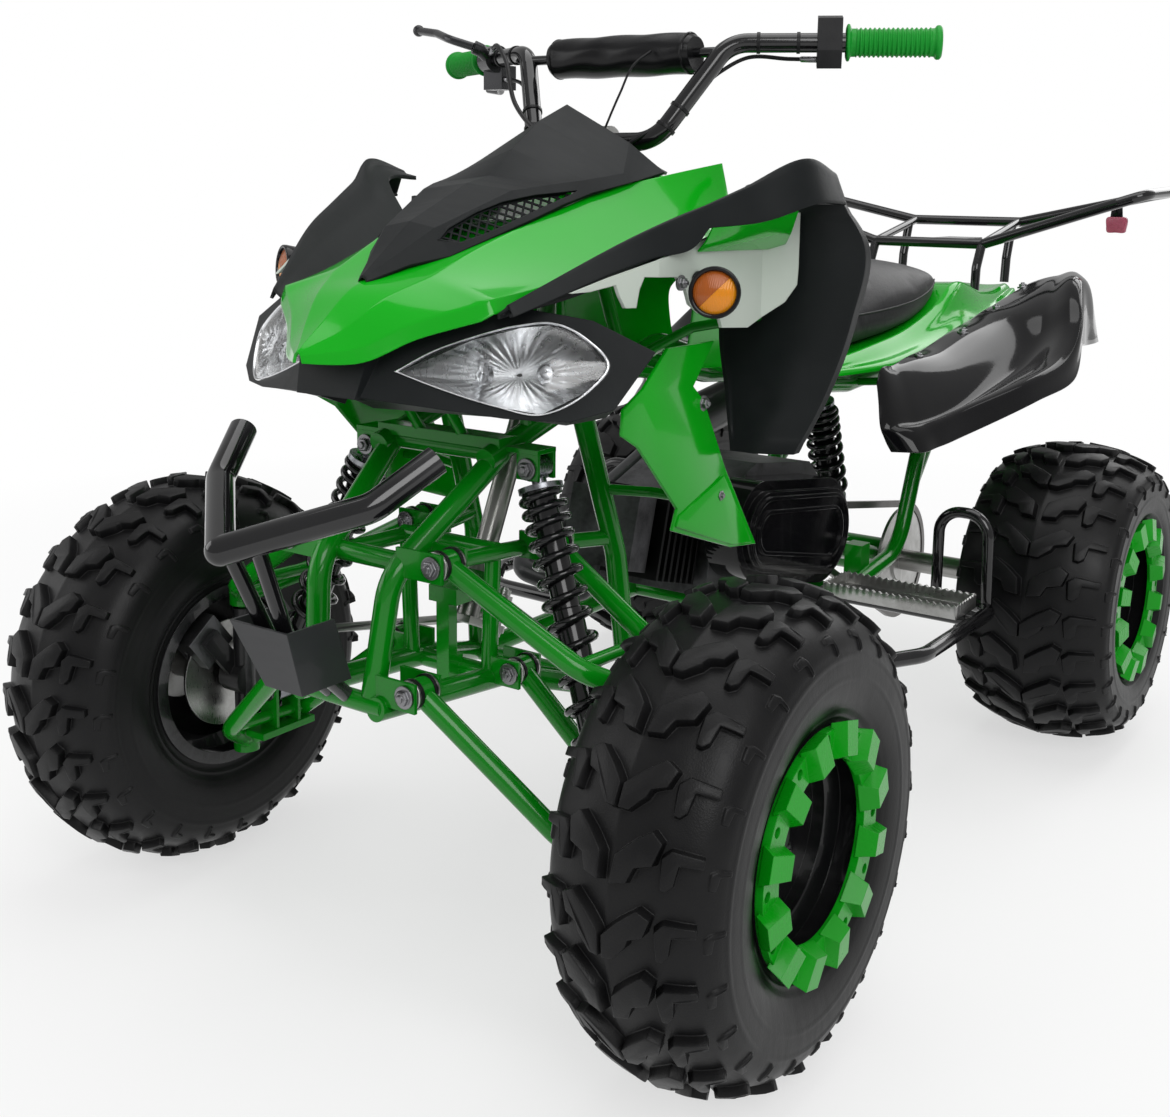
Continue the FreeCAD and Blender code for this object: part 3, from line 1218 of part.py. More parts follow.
def rear_rack():
    """Luggage rack: one closed winged loop, cross pieces, centre plate and four legs."""
    rear_y = REAR_END - RACK_TUBE
    front_line = [P(0, 812, 741), P(102, 812, 741), P(330, 803, 816), P(372, 806, 830)]
    rear_line = [P(388, 945, 836), P(340, 978, 828), V(104, rear_y, 776), V(0, rear_y, 776)]
    half = tube(front_line + rear_line, RACK_TUBE, 34)
    pieces = [half, mirrored(half)]
    for across in (-100, 100):
        pieces.append(rod(P(across, 812, 741), V(across, rear_y, 776), 7))
        pieces.append(tube([P(across, 812, 741), P(across, 790, 700), P(across, 788, 655)], 8, 20))
        pieces.append(tube([P(across, 960, 770), P(across, 940, 712), P(across, 936, 668)], 8, 20))
    for side in (-1, 1):
        pieces.append(rod(P(side * 270, 806, 797), P(side * 270, 986, 814), 6))
    pieces.append(block(P(-32, 812, 742), P(32, 996, 746)))
    return fused(pieces)


def foot_pegs():
    """Left foot peg, a folded plate with a serrated rim."""
    return fused([block(P(138, 152, 263.2), P(336, 226, 284)), block(P(120, 160, 263.2), P(140, 218, 267))])


def foot_guard():
    """Left footwell: outer rail, cross bars and the heel arch in front of the rear wheel."""
    inner = RAIL_X + FRAME_TUBE + RUNNING_GAP
    rail = tube([P(inner, -60, 250), P(300, -52, 250), P(346, 20, 252), P(346, 262, 252), P(300, 286, 252),
                 P(inner, 286, 252)], 10, 50)
    bar = rod(P(inner, 189, 254.9), P(346, 189, 254.9), 8)
    arch = tube([P(256, 280, 252), P(258, 276, 384), P(332, 272, 384), P(336, 268, 252)], 8, 34)
    return fused([rail, bar, arch])


def write(name, shape):
    """Check one node's solids and write them."""
    moved = shape.copy()
    moved.translate(SHIFT)
    for solid in moved.Solids:
        if not solid.isValid():
            print("INVALID", name)
    if len(moved.Solids) == 1:
        moved = moved.Solids[0]
    else:
        moved = Part.makeCompound(moved.Solids)
    moved.exportStep("parts/" + name + ".step")
    box = moved.optimalBoundingBox()
    print(name, len(moved.Solids), "X", round(box.XMin), round(box.XMax), "Y", round(box.YMin), round(box.YMax),
          "Z", round(box.ZMin, 1), round(box.ZMax, 1), "cm3", round(moved.Volume / 1000))


def build():
    """Make and write every node."""
    os.makedirs("parts", exist_ok=True)
    front = (FRONT_TRACK / 2, FRONT_AXLE_Y, FRONT_RADIUS)
    rear = (REAR_TRACK / 2, REAR_AXLE_Y, REAR_RADIUS)
    front_tyre = placed(tyre(FRONT_RADIUS, FRONT_WIDTH, FRONT_RIM_WIDTH), *front)
    front_rim = placed(rim(FRONT_RIM_WIDTH), *front)
    front_cover = placed(rim_cover(FRONT_RIM_WIDTH), *front)
    hub = placed(front_hub(), *front)
    for name, shape in (("front_tyre", front_tyre), ("front_rim", front_rim), ("front_rim_cover", front_cover),
                        ("front_hub", hub), ("knuckle", knuckle()), ("front_caliper", caliper()),
                        ("tie_rod", tie_rod(1))):
        write(name + "_left", shape)
        write(name + "_right", mirrored(tie_rod(-1) if name == "tie_rod" else shape))
    write("rear_tyres", both(placed(tyre(REAR_RADIUS, REAR_WIDTH, REAR_RIM_WIDTH), *rear)))
    write("rear_rims", both(placed(rim(REAR_RIM_WIDTH), *rear)))
    write("rear_rim_covers", both(placed(rim_cover(REAR_RIM_WIDTH), *rear)))
    write("rear_axle", rear_axle())
    write("steering_column", steering_column())
    write("handlebar", handlebar())
    write("bar_pad", bar_pad())
    write("grips", both(grip()))
    write("switch_block", switch_block())
    write("brake_lever", brake_lever())
    write("frame", frame())
    upper_arm = wishbone(UPPER_PIVOT_FRONT, UPPER_PIVOT_REAR, UPPER_BALL_Z, False)
    write("wishbones", Part.makeCompound([both(lower_arm()), both(upper_arm)]))
    rear_shock = shock(REAR_SHOCK_TOP, REAR_SHOCK_FOOT, ACROSS, 22, 16)
    front_shock = shock(SHOCK_TOP, SHOCK_FOOT, BACK, 22, 13)
    write("shocks", Part.makeCompound([front_shock, mirrored(front_shock), rear_shock]))
    front_spring = spring(SHOCK_TOP, SHOCK_FOOT, 20.5, 3.5, 9)
    rear_spring = spring(REAR_SHOCK_TOP, REAR_SHOCK_FOOT, 24, 4.5, 7)
    write("springs", Part.makeCompound([front_spring, mirrored(front_spring), rear_spring]))
    write("swingarm", swingarm())
    write("chain", chain())
    write("engine", engine())
    write("engine_cover", engine_cover())
    write("exhaust", exhaust())
    write("front_fairing", front_fairing())
    write("nose_surround", nose_surround())
    write("headlamps", both(headlamp()))
    write("dash_cowl", dash_cowl())
    write("cowl_grilles", both(cowl_grille()))
    write("flares", both(flare()))
    write("splash_panels", both(splash_panel()))
    write("side_panels", Part.makeCompound([both(side_panel()), both(arch_return())]))
    write("fender_liners", both(fender_liner()))
    write("signal_lamps", Part.makeCompound([both(turn_signal()), both(tail_lamp())]))
    write("rear_fenders", both(rear_fender()))
    write("tail_body", tail_body())
    write("seat", seat())
    write("tank_cover", tank_cover())
    write("front_bumper", front_bumper())
    write("skid_plate", skid_plate())
    write("rear_rack", rear_rack())
    write("foot_pegs", both(foot_pegs()))
    write("foot_guards", both(foot_guard()))


build()
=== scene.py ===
# Looks of the quad bike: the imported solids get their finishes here, and the moulded, soft and fine
# pieces are worked out as surfaces in the same metres and axes (-Y ahead, +X the bike's left, +Z up).

import json
import logging
import math
from dataclasses import dataclass, field
from enum import Enum
from typing import Callable, Dict, List, NamedTuple, Optional, Sequence, Tuple

import bmesh
import bpy
import numpy as np
from mathutils import Matrix, Vector


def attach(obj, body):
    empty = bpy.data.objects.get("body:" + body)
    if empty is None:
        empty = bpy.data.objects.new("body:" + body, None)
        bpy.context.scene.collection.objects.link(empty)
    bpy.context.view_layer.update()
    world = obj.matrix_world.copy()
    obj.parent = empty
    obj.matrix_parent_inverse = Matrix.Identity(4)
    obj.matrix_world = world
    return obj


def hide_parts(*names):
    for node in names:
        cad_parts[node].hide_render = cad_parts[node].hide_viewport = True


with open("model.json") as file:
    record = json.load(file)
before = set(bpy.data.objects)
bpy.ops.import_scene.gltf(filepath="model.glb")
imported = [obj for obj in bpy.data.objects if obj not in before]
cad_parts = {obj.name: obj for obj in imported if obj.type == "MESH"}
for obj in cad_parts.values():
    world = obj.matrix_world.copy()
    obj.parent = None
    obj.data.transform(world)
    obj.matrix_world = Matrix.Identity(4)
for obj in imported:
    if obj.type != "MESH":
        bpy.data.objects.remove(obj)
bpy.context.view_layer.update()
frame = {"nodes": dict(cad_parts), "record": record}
LOG = logging.getLogger("quad_bike")
WHITE = (1.0, 1.0, 1.0, 1.0)
Colour = Tuple[float, float, float]
Point = Tuple[float, float, float]
Pair = Tuple[float, float]
Outline = Sequence[Pair]
Array = np.ndarray
Socket = bpy.types.NodeSocket


# Shader groups

class Group(Enum):
    """The shader groups that several finishes share."""

    GRAIN = "moulded grain"
    WEAR = "edge wear"
    DUST = "settled dust"
    SCUFF = "fine scuffs"


def adder(tree: bpy.types.NodeTree) -> Callable[..., bpy.types.Node]:
    """Gives a function that adds a node to a tree, with its settings and its linked or plain inputs.

    Args:
        tree: the node tree.

    Returns:
        The function.
    """

    def add(kind: str, inputs: Optional[Dict[object, object]] = None, **settings: object) -> bpy.types.Node:
        """Adds one node."""
        node = tree.nodes.new("ShaderNode" + kind)
        for key, value in settings.items():
            setattr(node, key, value)
        for key, value in (inputs or {}).items():
            if isinstance(value, bpy.types.NodeSocket):
                tree.links.new(value, node.inputs[key])
            else:
                node.inputs[key].default_value = value
        return node

    return add


class Draft(NamedTuple):
    """A shader group while its nodes are laid."""

    tree: bpy.types.NodeTree
    add: Callable[..., bpy.types.Node]
    given: bpy.types.NodeOutputs
    place: Socket

    def close(self, name: str, value: Socket) -> bpy.types.NodeTree:
        """Puts a value out of the group under a name, and returns the group."""
        self.tree.interface.new_socket(name=name, in_out="OUTPUT", socket_type="NodeSocketFloat")
        self.tree.links.new(value, self.tree.nodes.new("NodeGroupOutput").inputs[name])
        return self.tree


def draft(kind: Group, **inputs: float) -> Draft:
    """Starts a shader group on object coordinates.

    Args:
        kind: which group.
        **inputs: its float inputs and their defaults.

    Returns:
        The group's draft.
    """
    tree = bpy.data.node_groups.new(kind.value, "ShaderNodeTree")
    for name, value in inputs.items():
        socket = tree.interface.new_socket(name=name, in_out="INPUT", socket_type="NodeSocketFloat")
        socket.default_value = value
    add = adder(tree)
    given = tree.nodes.new("NodeGroupInput").outputs
    return Draft(tree, add, given, add("TexCoord").outputs["Object"])


def grain_group() -> bpy.types.NodeTree:
    """Leathery moulded grain: cell edges at one scale plus soft noise at a coarser one.

    Returns:
        The group, with inputs Scale and Softness and the output Height.
    """
    tree = draft(Group.GRAIN, Scale=900.0, Softness=0.4)
    cells = tree.add("TexVoronoi", {"Vector": tree.place, "Scale": tree.given["Scale"],
                                    "Smoothness": tree.given["Softness"]}, feature="SMOOTH_F1")
    coarse = tree.add("Math", {0: tree.given["Scale"], 1: 0.23}, operation="MULTIPLY")
    cloud = tree.add("TexNoise", {"Vector": tree.place, "Scale": coarse.outputs[0], "Detail": 3.0})
    both = tree.add("Math", {0: cells.outputs["Distance"], 1: cloud.outputs["Fac"]}, operation="ADD")
    return tree.close("Height", both.outputs[0])


def wear_group() -> bpy.types.NodeTree:
    """Worn outer edges: the surface's pointiness past an edge value, broken up by noise.

    Returns:
        The group, with inputs Edge, Break and Amount and the output Mask.
    """
    tree = draft(Group.WEAR, Edge=0.56, Break=60.0, Amount=0.6)
    shape = tree.add("NewGeometry")
    cloud = tree.add("TexNoise", {"Vector": tree.place, "Scale": tree.given["Break"], "Detail": 5.0})
    past = tree.add("Math", {0: shape.outputs["Pointiness"], 1: tree.given["Edge"]}, operation="SUBTRACT")
    steep = tree.add("Math", {0: past.outputs[0], 1: 12.0}, operation="MULTIPLY", use_clamp=True)
    broken = tree.add("Math", {0: steep.outputs[0], 1: cloud.outputs["Fac"]}, operation="MULTIPLY")
    scaled = tree.add("Math", {0: broken.outputs[0], 1: tree.given["Amount"]}, operation="MULTIPLY",
                      use_clamp=True)
    return tree.close("Mask", scaled.outputs[0])


def dust_group() -> bpy.types.NodeTree:
    """Thin dust on what faces up: the normal's height times a soft noise.

    Returns:
        The group, with inputs Scale and Amount and the output Mask.
    """
    tree = draft(Group.DUST, Scale=14.0, Amount=0.1)
    split = tree.add("SeparateXYZ", {0: tree.add("NewGeometry").outputs["Normal"]})
    cloud = tree.add("TexNoise", {"Vector": tree.place, "Scale": tree.given["Scale"], "Detail": 6.0,
                                  "Roughness": 0.6})
    lift = tree.add("MapRange", {0: split.outputs[2], 1: -0.4, 2: 1.0, 3: 0.25, 4: 1.0})
    patch = tree.add("MapRange", {0: cloud.outputs["Fac"], 1: 0.35, 2: 0.75, 3: 0.0, 4: 1.0})
    both = tree.add("Math", {0: lift.outputs[0], 1: patch.outputs[0]}, operation="MULTIPLY")
    scaled = tree.add("Math", {0: both.outputs[0], 1: tree.given["Amount"]}, operation="MULTIPLY",
                      use_clamp=True)
    return tree.close("Mask", scaled.outputs[0])


def scuff_group() -> bpy.types.NodeTree:
    """Handling marks in the gloss: the mean of a stretched fine noise and a broad one.

    Returns:
        The group, with the input Scale and the output Value.
    """
    tree = draft(Group.SCUFF, Scale=20.0)
    long = tree.add("Mapping", {"Vector": tree.place, "Rotation": (0.3, 0.9, 0.5), "Scale": (1.0, 9.0, 2.0)})
    fine = tree.add("TexNoise", {"Vector": long.outputs[0], "Scale": tree.given["Scale"], "Detail": 8.0,
                                 "Roughness": 0.7})
    broad = tree.add("TexNoise", {"Vector": tree.place, "Scale": 5.0, "Detail": 2.0})
    both = tree.add("Math", {0: fine.outputs["Fac"], 1: broad.outputs["Fac"]}, operation="ADD")
    half = tree.add("Math", {0: both.outputs[0], 1: 0.5}, operation="MULTIPLY")
    return tree.close("Value", half.outputs[0])


class Finish:
    """Builds one material from the shared groups, and keeps it."""

    groups: Dict[Group, bpy.types.NodeTree] = {}
    ready: Dict[str, bpy.types.Material] = {}
    soften = 0.0014

    def __init__(self, name: str) -> None:
        """Starts an empty material with its shader.

        Args:
            name: the finish's name.
        """
        self.material = bpy.data.materials.new(name)
        self.material.use_nodes = True
        self.tree = self.material.node_tree
        self.tree.nodes.clear()
        self.add = adder(self.tree)
        self.shader = self.add("BsdfPrincipled")
        self.output = self.add("OutputMaterial", {"Surface": self.shader.outputs[0]})
        self.place = self.add("TexCoord").outputs["Object"]

    @classmethod
    def prepare(cls) -> None:
        """Builds the shared groups once."""
        cls.groups = {Group.GRAIN: grain_group(), Group.WEAR: wear_group(), Group.DUST: dust_group(),
                      Group.SCUFF: scuff_group()}

    def group(self, which: Group, **values: float) -> Socket:
        """Places a shared group in this material.

        Args:
            which: the group.
            **values: its inputs, named in lower case.

        Returns:
            The group's output.
        """
        node = self.tree.nodes.new("ShaderNodeGroup")
        node.node_tree = Finish.groups[which]
        for key, value in values.items():
            node.inputs[key.capitalize()].default_value = value
        return node.outputs[0]

    def noise(self, scale: float, detail: float, roughness: float = 0.5) -> Socket:
        """A cloud of noise on object coordinates."""
        return self.add("TexNoise", {"Vector": self.place, "Scale": scale, "Detail": detail,
                                     "Roughness": roughness}).outputs["Fac"]

    def set(self, **values: object) -> None:
        """Sets constant inputs of the shader, with underscores for spaces in their names."""
        for key, value in values.items():
            self.shader.inputs[key.replace("_", " ")].default_value = value

    def feed(self, **sources: Socket) -> None:
        """Joins sockets to inputs of the shader, with underscores for spaces in their names."""
        for key, source in sources.items():
            self.tree.links.new(source, self.shader.inputs[key.replace("_", " ")])

    def blend(self, factor: Socket, first: object, second: Colour) -> Socket:
        """Mixes two colours by a mask.

        Args:
            factor: the mask.
            first: a colour or socket where the mask is 0.
            second: a colour where the mask is 1.

        Returns:
            The mixed colour.
        """
        first = first if isinstance(first, bpy.types.NodeSocket) else (*first, 1.0)
        return self.add("Mix", {0: factor, 6: first, 7: (*second, 1.0)}, data_type="RGBA").outputs[2]

    def ranged(self, value: Socket, low: float, high: float, start: float = 0.3, end: float = 0.7) -> Socket:
        """Maps a noise value from start..end to low..high."""
        return self.add("MapRange", {0: value, 1: start, 2: end, 3: low, 4: high}).outputs[0]

    def weather(self, base: Socket, wear: float, bare: Colour, dust: float, dusty: Colour, marks: float,
                rough: Tuple[float, float]) -> None:
        """Feeds the colour with worn edges and dust on it, and the roughness with scuffs and dust.

        Args:
            base: the clean colour.
            wear: how far the edges are worn.
            bare: the colour of worn edges.
            dust: how much dust lies on it.
            dusty: the dust's colour.
            marks: the scale of the scuffs.
            rough: the least and the most roughness.
        """
        worn = self.blend(self.group(Group.WEAR, amount=wear), base, bare)
        lying = self.group(Group.DUST, amount=dust)
        scuff = self.ranged(self.group(Group.SCUFF, scale=marks), *rough)
        added = self.add("Math", {0: scuff, 1: lying}, operation="ADD")
        self.feed(Base_Color=self.blend(lying, worn, dusty), Roughness=added.outputs[0])

    def bump(self, height: Socket, strength: float, distance: float,
             under: Optional[Socket] = None) -> Socket:
        """Turns a height into a normal and feeds the shader with it.

        Args:
            height: the height's socket.
            strength: how much of it shows.
            distance: the height of one unit, in metres.
            under: a normal that it is added to; None takes the shape's own, softened at its edges.

        Returns:
            The normal's socket.
        """
        under = under or self.add("Bevel", {"Radius": self.soften}, samples=4).outputs[0]
        normal = self.add("Bump", {"Height": height, "Strength": strength, "Distance": distance,
                                   "Normal": under}).outputs[0]
        self.feed(Normal=normal)
        return normal


@dataclass(frozen=True)
class Paint:
    """A gloss finish: colour with slow variation, scuffs in the gloss, orange peel, dust and worn edges."""

    name: str
    colour: Colour
    deep: Colour
    rough: Tuple[float, float]
    coat: float = 0.6
    dust: float = 0.05
    bare: Colour = (0.25, 0.25, 0.26)
    wear: float = 0.3
    grain: float = 0.0
    peel: float = 0.06
    shine: float = 0.22

    def build(self) -> bpy.types.Material:
        """Makes the material."""
        finish = Finish(self.name)
        base = finish.blend(finish.ranged(finish.noise(3.2, 3.0), 0.0, 1.0), self.colour, self.deep)
        finish.weather(base, self.wear, self.bare, self.dust, (0.36, 0.34, 0.31), 26.0, self.rough)
        finish.set(Coat_Weight=self.coat, Coat_Roughness=0.04, IOR=1.5, Specular_IOR_Level=self.shine)
        normal = finish.bump(finish.noise(160.0, 2.0), self.peel, 0.0006)
        if self.grain:
            finish.bump(finish.group(Group.GRAIN, scale=1100.0), self.grain, 0.0004, normal)
        return finish.material


@dataclass(frozen=True)
class Moulded:
    """A grained plastic or rubber: cell grain in the surface, greyer where it is rubbed or dusty."""

    name: str
    colour: Colour
    pale: Colour
    rough: Tuple[float, float]
    scale: float = 900.0
    depth: float = 0.35
    dust: float = 0.1
    wear: float = 0.35
    sheen: float = 0.0
    shine: float = 0.22

    def build(self) -> bpy.types.Material:
        """Makes the material."""
        finish = Finish(self.name)
        base = finish.blend(finish.ranged(finish.noise(7.0, 4.0), 0.0, 0.8), self.colour, self.pale)
        rubbed = tuple(min(1.0, c * 2.2 + 0.02) for c in self.pale)
        finish.weather(base, self.wear, rubbed, self.dust, (0.30, 0.28, 0.26), 14.0, self.rough)
        finish.set(Sheen_Weight=self.sheen, Sheen_Roughness=0.4, Specular_IOR_Level=self.shine)
        finish.bump(finish.group(Group.GRAIN, scale=self.scale), self.depth, 0.0005)
        return finish.material


@dataclass(frozen=True)
class Metal:
    """Bare or plated metal: brushed or cast, darker in its hollows, where pointiness is low, and in noise
    patches.
    """

    name: str
    colour: Colour
    dark: Colour
    rough: Tuple[float, float]
    metallic: float = 1.0
    cast: float = 0.0
    brushed: float = 0.3
    darkening: float = 0.5

    def build(self) -> bpy.types.Material:
        """Makes the material."""
        finish = Finish(self.name)
        # Darker where the surface is hollow (low pointiness) and in noise patches, by the darkening amount.
        hollow = finish.ranged(finish.add("NewGeometry").outputs["Pointiness"], 1.0, 0.0, 0.42, 0.5)
        patch = finish.ranged(finish.noise(22.0, 6.0, 0.65), 0.0, 1.0, 0.42, 0.72)
        darkened = finish.add("Math", {0: hollow, 1: patch}, operation="MAXIMUM")
        amount = finish.add("Math", {0: darkened.outputs[0], 1: self.darkening}, operation="MULTIPLY", use_clamp=True)
        scuff = finish.group(Group.SCUFF, scale=60.0)
        finish.feed(Base_Color=finish.blend(amount.outputs[0], self.colour, self.dark),
                    Roughness=finish.ranged(scuff, *self.rough))
        finish.set(Metallic=self.metallic)
        normal = finish.bump(scuff, self.brushed, 0.0002)
        if self.cast:
            finish.bump(finish.noise(900.0, 3.0), self.cast, 0.0006, normal)
        return finish.material


@dataclass(frozen=True)
class Lens:
    """Clear or tinted glass-like plastic, with fine flow lines in it."""

    name: str
    colour: Colour
    rough: float = 0.04
    clear: float = 1.0
    ribs: float = 0.0

    def build(self) -> bpy.types.Material:
        """Makes the material."""
        finish = Finish(self.name)
        cloud = finish.noise(30.0, 3.0)
        pale = tuple(min(1.0, c * 1.08) for c in self.colour)
        finish.feed(Base_Color=finish.blend(finish.ranged(cloud, 0.0, 1.0), self.colour, pale),
                    Roughness=finish.ranged(cloud, self.rough, self.rough + 0.05))
        finish.set(Transmission_Weight=self.clear, IOR=1.45)
        if self.ribs:
            wave = finish.add("TexWave", {"Vector": finish.place, "Scale": self.ribs, "Distortion": 0.4},
                              bands_direction="X")
            finish.bump(wave.outputs["Fac"], 0.25, 0.0008)
        return finish.material


COAT = ((0.003, 0.003, 0.0035), (0.006, 0.006, 0.007))
SHEATH = ((0.004, 0.004, 0.0045), (0.008, 0.008, 0.009))
FINISHES: Dict[str, object] = {
    "green_paint": Paint("green powder coat", (0.001, 0.27, 0.006), (0.001, 0.18, 0.005), (0.12, 0.22),
                         coat=0.25, dust=0.015, bare=(0.02, 0.30, 0.03), wear=0.2),
    "green_plastic": Paint("green moulding", (0.0008, 0.40, 0.006), (0.0008, 0.32, 0.005), (0.08, 0.16),
                           coat=0.25, dust=0.01, bare=(0.03, 0.36, 0.05), wear=0.12),
    "cover_green": Paint("green guard ring", (0.001, 0.36, 0.006), (0.001, 0.27, 0.005), (0.22, 0.34),
                         coat=0.1, dust=0.015, bare=(0.04, 0.36, 0.06), wear=0.2, grain=0.12),
    "green_rubber": Moulded("green grip rubber", (0.004, 0.25, 0.02), (0.008, 0.33, 0.03), (0.36, 0.5),
                            dust=0.02),
    "matte_black": Moulded("grained black plastic", (0.006, 0.0075, 0.008), (0.011, 0.013, 0.014),
                           (0.36, 0.50), scale=1500.0, depth=0.18, dust=0.01, wear=0.1, shine=0.16),
    "gloss_black": Paint("black gloss moulding", (0.0025, 0.0025, 0.003), (0.005, 0.005, 0.006), (0.05, 0.12),
                         coat=0.12, dust=0.012, bare=(0.04, 0.04, 0.043), wear=0.2),
    "switch_plastic": Moulded("switch housing", (0.006, 0.006, 0.007), (0.011, 0.011, 0.012), (0.30, 0.42),
                              depth=0.15, dust=0.02),
    "pale_plastic": Moulded("pale translucent moulding", (0.46, 0.52, 0.46), (0.55, 0.60, 0.54), (0.4, 0.55),
                            depth=0.1, dust=0.03, wear=0.0),
    "black_tube": Paint("black tube coat", *COAT, (0.08, 0.18), coat=0.7, dust=0.012),
    "satin_black_metal": Paint("satin black coat", (0.022, 0.023, 0.025), (0.032, 0.033, 0.036), (0.34, 0.46),
                               coat=0.1, dust=0.03),
    "black_spring": Paint("spring coat", *COAT, (0.10, 0.22), coat=0.5, dust=0.012),
    "damper_steel": Metal("plated damper", (0.30, 0.31, 0.33), (0.05, 0.05, 0.055), (0.18, 0.32)),
    "chain_steel": Metal("oiled chain", (0.16, 0.155, 0.15), (0.03, 0.028, 0.025), (0.28, 0.45)),
    "engine_alloy": Metal("cast engine metal", (0.10, 0.10, 0.105), (0.015, 0.015, 0.015), (0.34, 0.5),
                          cast=0.5, darkening=0.9),
    "lever_alloy": Metal("black lever", (0.035, 0.035, 0.038), (0.012, 0.012, 0.013), (0.16, 0.30),
                         metallic=0.6),
    "caliper_alloy": Metal("cast caliper", (0.22, 0.22, 0.23), (0.04, 0.04, 0.04), (0.35, 0.5), cast=0.5),
    "knuckle_steel": Paint("black forging", (0.006, 0.006, 0.007), (0.012, 0.012, 0.013), (0.26, 0.40),
                           coat=0.2, dust=0.02),
    "zinc_steel": Metal("zinc plate", (0.46, 0.46, 0.45), (0.10, 0.095, 0.08), (0.24, 0.42)),
    "rim_steel": Paint("black wheel coat", *COAT, (0.12, 0.24), coat=0.4, dust=0.012),
    "tyre_rubber": Moulded("tyre rubber", (0.004, 0.004, 0.0045), (0.008, 0.008, 0.0085), (0.32, 0.48),
                           scale=700.0, depth=0.2, dust=0.015, wear=0.25, shine=0.2),
    "seat_cover": Moulded("grained seat cover", (0.007, 0.007, 0.008), (0.012, 0.012, 0.0135), (0.36, 0.48),
                          scale=620.0, depth=0.4, dust=0.02, wear=0.03, sheen=0.05),
    "black_foam": Moulded("pad cover", *SHEATH, (0.16, 0.28), scale=1400.0, depth=0.08, dust=0.01, wear=0.0),
    "amber_lens": Lens("amber lens", (0.95, 0.34, 0.01), 0.12, 0.35, ribs=160.0),
    "lamp_clear": Lens("clear lens", (0.96, 0.97, 0.98)),
    "reflector": Metal("bright reflector", (0.82, 0.83, 0.85), (0.55, 0.55, 0.57), (0.06, 0.16), brushed=0.1,
                       darkening=0.25),
    "bowl": Metal("frosted reflector", (0.88, 0.89, 0.90), (0.70, 0.70, 0.72), (0.20, 0.32), brushed=0.1,
                  darkening=0.15),
    # A darker copy of the signals' amber, used on each lens's upper half: painted shade, not a colour of the
    # lens.
    "amber_painted_shade": Lens("amber lens painted shade half", (0.42, 0.10, 0.01), 0.12, 0.2, ribs=160.0),
    "red_lens": Lens("red lens", (0.48, 0.10, 0.16), 0.14, 0.25, ribs=200.0),
    "bolt": Metal("bolt steel", (0.26, 0.26, 0.27), (0.05, 0.05, 0.05), (0.22, 0.40)),
    "cable": Moulded("cable sheath", *SHEATH, (0.28, 0.42), depth=0.08, dust=0.01),
}


# Surfaces as whole arrays

MIDWAY = (0.0, -85.0, 0.0)


def metres(points: Sequence) -> Array:
    """Drawn points in millimetres, with y from midway between the axles, as points of the frame."""
    return (np.asarray(points, dtype=float) + MIDWAY) / 1000.0


def unit(vectors: Array) -> Array:
    """The vectors over their lengths."""
    return vectors / np.maximum(np.linalg.norm(vectors, axis=-1, keepdims=True), 1e-12)


def reached(line: Array) -> Array:
    """How far along a line each of its points lies."""
    return np.concatenate([[0.0], np.cumsum(np.linalg.norm(np.diff(line, axis=0), axis=1))])


def circle(sides: int) -> Array:
    """Even angles round a full turn."""
    return np.linspace(0, 2 * math.pi, sides, endpoint=False)


def bent(knots: Array, values: Array, at: Array) -> Array:
    """Smooth curve through values: between two, the cubic with both slopes, h00 a + h10 s + h01 b + h11 t.

    Args:
        knots: rising places of the values.
        values: one value or point each, along the first axis.
        at: the places to work out.

    Returns:
        The values there. A knot's slope is the mean of the chords beside it, the nearer weighing more.
    """
    shape = (-1,) + (1,) * (values.ndim - 1)
    step = np.diff(knots)
    chord = np.diff(values, axis=0) / step.reshape(shape)
    slope = np.empty_like(values)
    slope[0], slope[-1] = chord[0], chord[-1]
    before, after = step[:-1].reshape(shape), step[1:].reshape(shape)
    slope[1:-1] = (chord[:-1] * after + chord[1:] * before) / (before + after)
    index = np.clip(np.searchsorted(knots, at, side="right") - 1, 0, len(step) - 1)
    wide = step[index].reshape(shape)
    t = ((at - knots[index]) / step[index]).reshape(shape)
    return ((2 * t ** 3 - 3 * t ** 2 + 1) * values[index] + (t ** 3 - 2 * t ** 2 + t) * wide * slope[index]
            + (3 * t ** 2 - 2 * t ** 3) * values[index + 1] + (t ** 3 - t ** 2) * wide * slope[index + 1])


def along(points: Sequence, count: int, creases: Sequence[int] = ()) -> Array:
    """A curve or family of curves through points, with even steps between creases.

    Args:
        points: the points, along the first axis; further axes are other curves that share the knots.
        count: how many points come back.
        creases: indices of points where the curve may turn sharply.

    Returns:
        The new points along the first axis. The knots are the mean lengths of the chords.
    """
    points = np.asarray(points, dtype=float)
    chord = np.linalg.norm(np.diff(points, axis=0), axis=-1)
    chord = chord.reshape(len(points) - 1, -1).mean(axis=1)
    knots = np.concatenate([[0.0], np.cumsum(np.maximum(chord, 1e-9))])
    stops = [0, *creases, len(points) - 1]
    at = np.linspace(0.0, knots[-1], count)
    for stop in creases:
        at[np.argmin(abs(at - knots[stop]))] = knots[stop]
    return np.concatenate([
        bent(knots[a:b + 1], points[a:b + 1], at[(at >= knots[a]) & ((at < knots[b]) | (b == stops[-1]))])
        for a, b in zip(stops[:-1], stops[1:])])


def sheet(rows: Sequence, lengthwise: int, crosswise: int, creases: Sequence[int] = (),
          folds: Sequence[int] = ()) -> Array:
    """A surface through a table of points: smooth down each column, then along each row.

    Args:
        rows: the table, rows by columns by three.
        lengthwise: points from row to row.
        crosswise: points along a row.
        creases: columns that stay sharp.
        folds: rows that stay sharp.

    Returns:
        The grid of points.
    """
    down = along(rows, lengthwise, folds)
    return np.swapaxes(along(np.swapaxes(down, 0, 1), crosswise, creases), 0, 1)


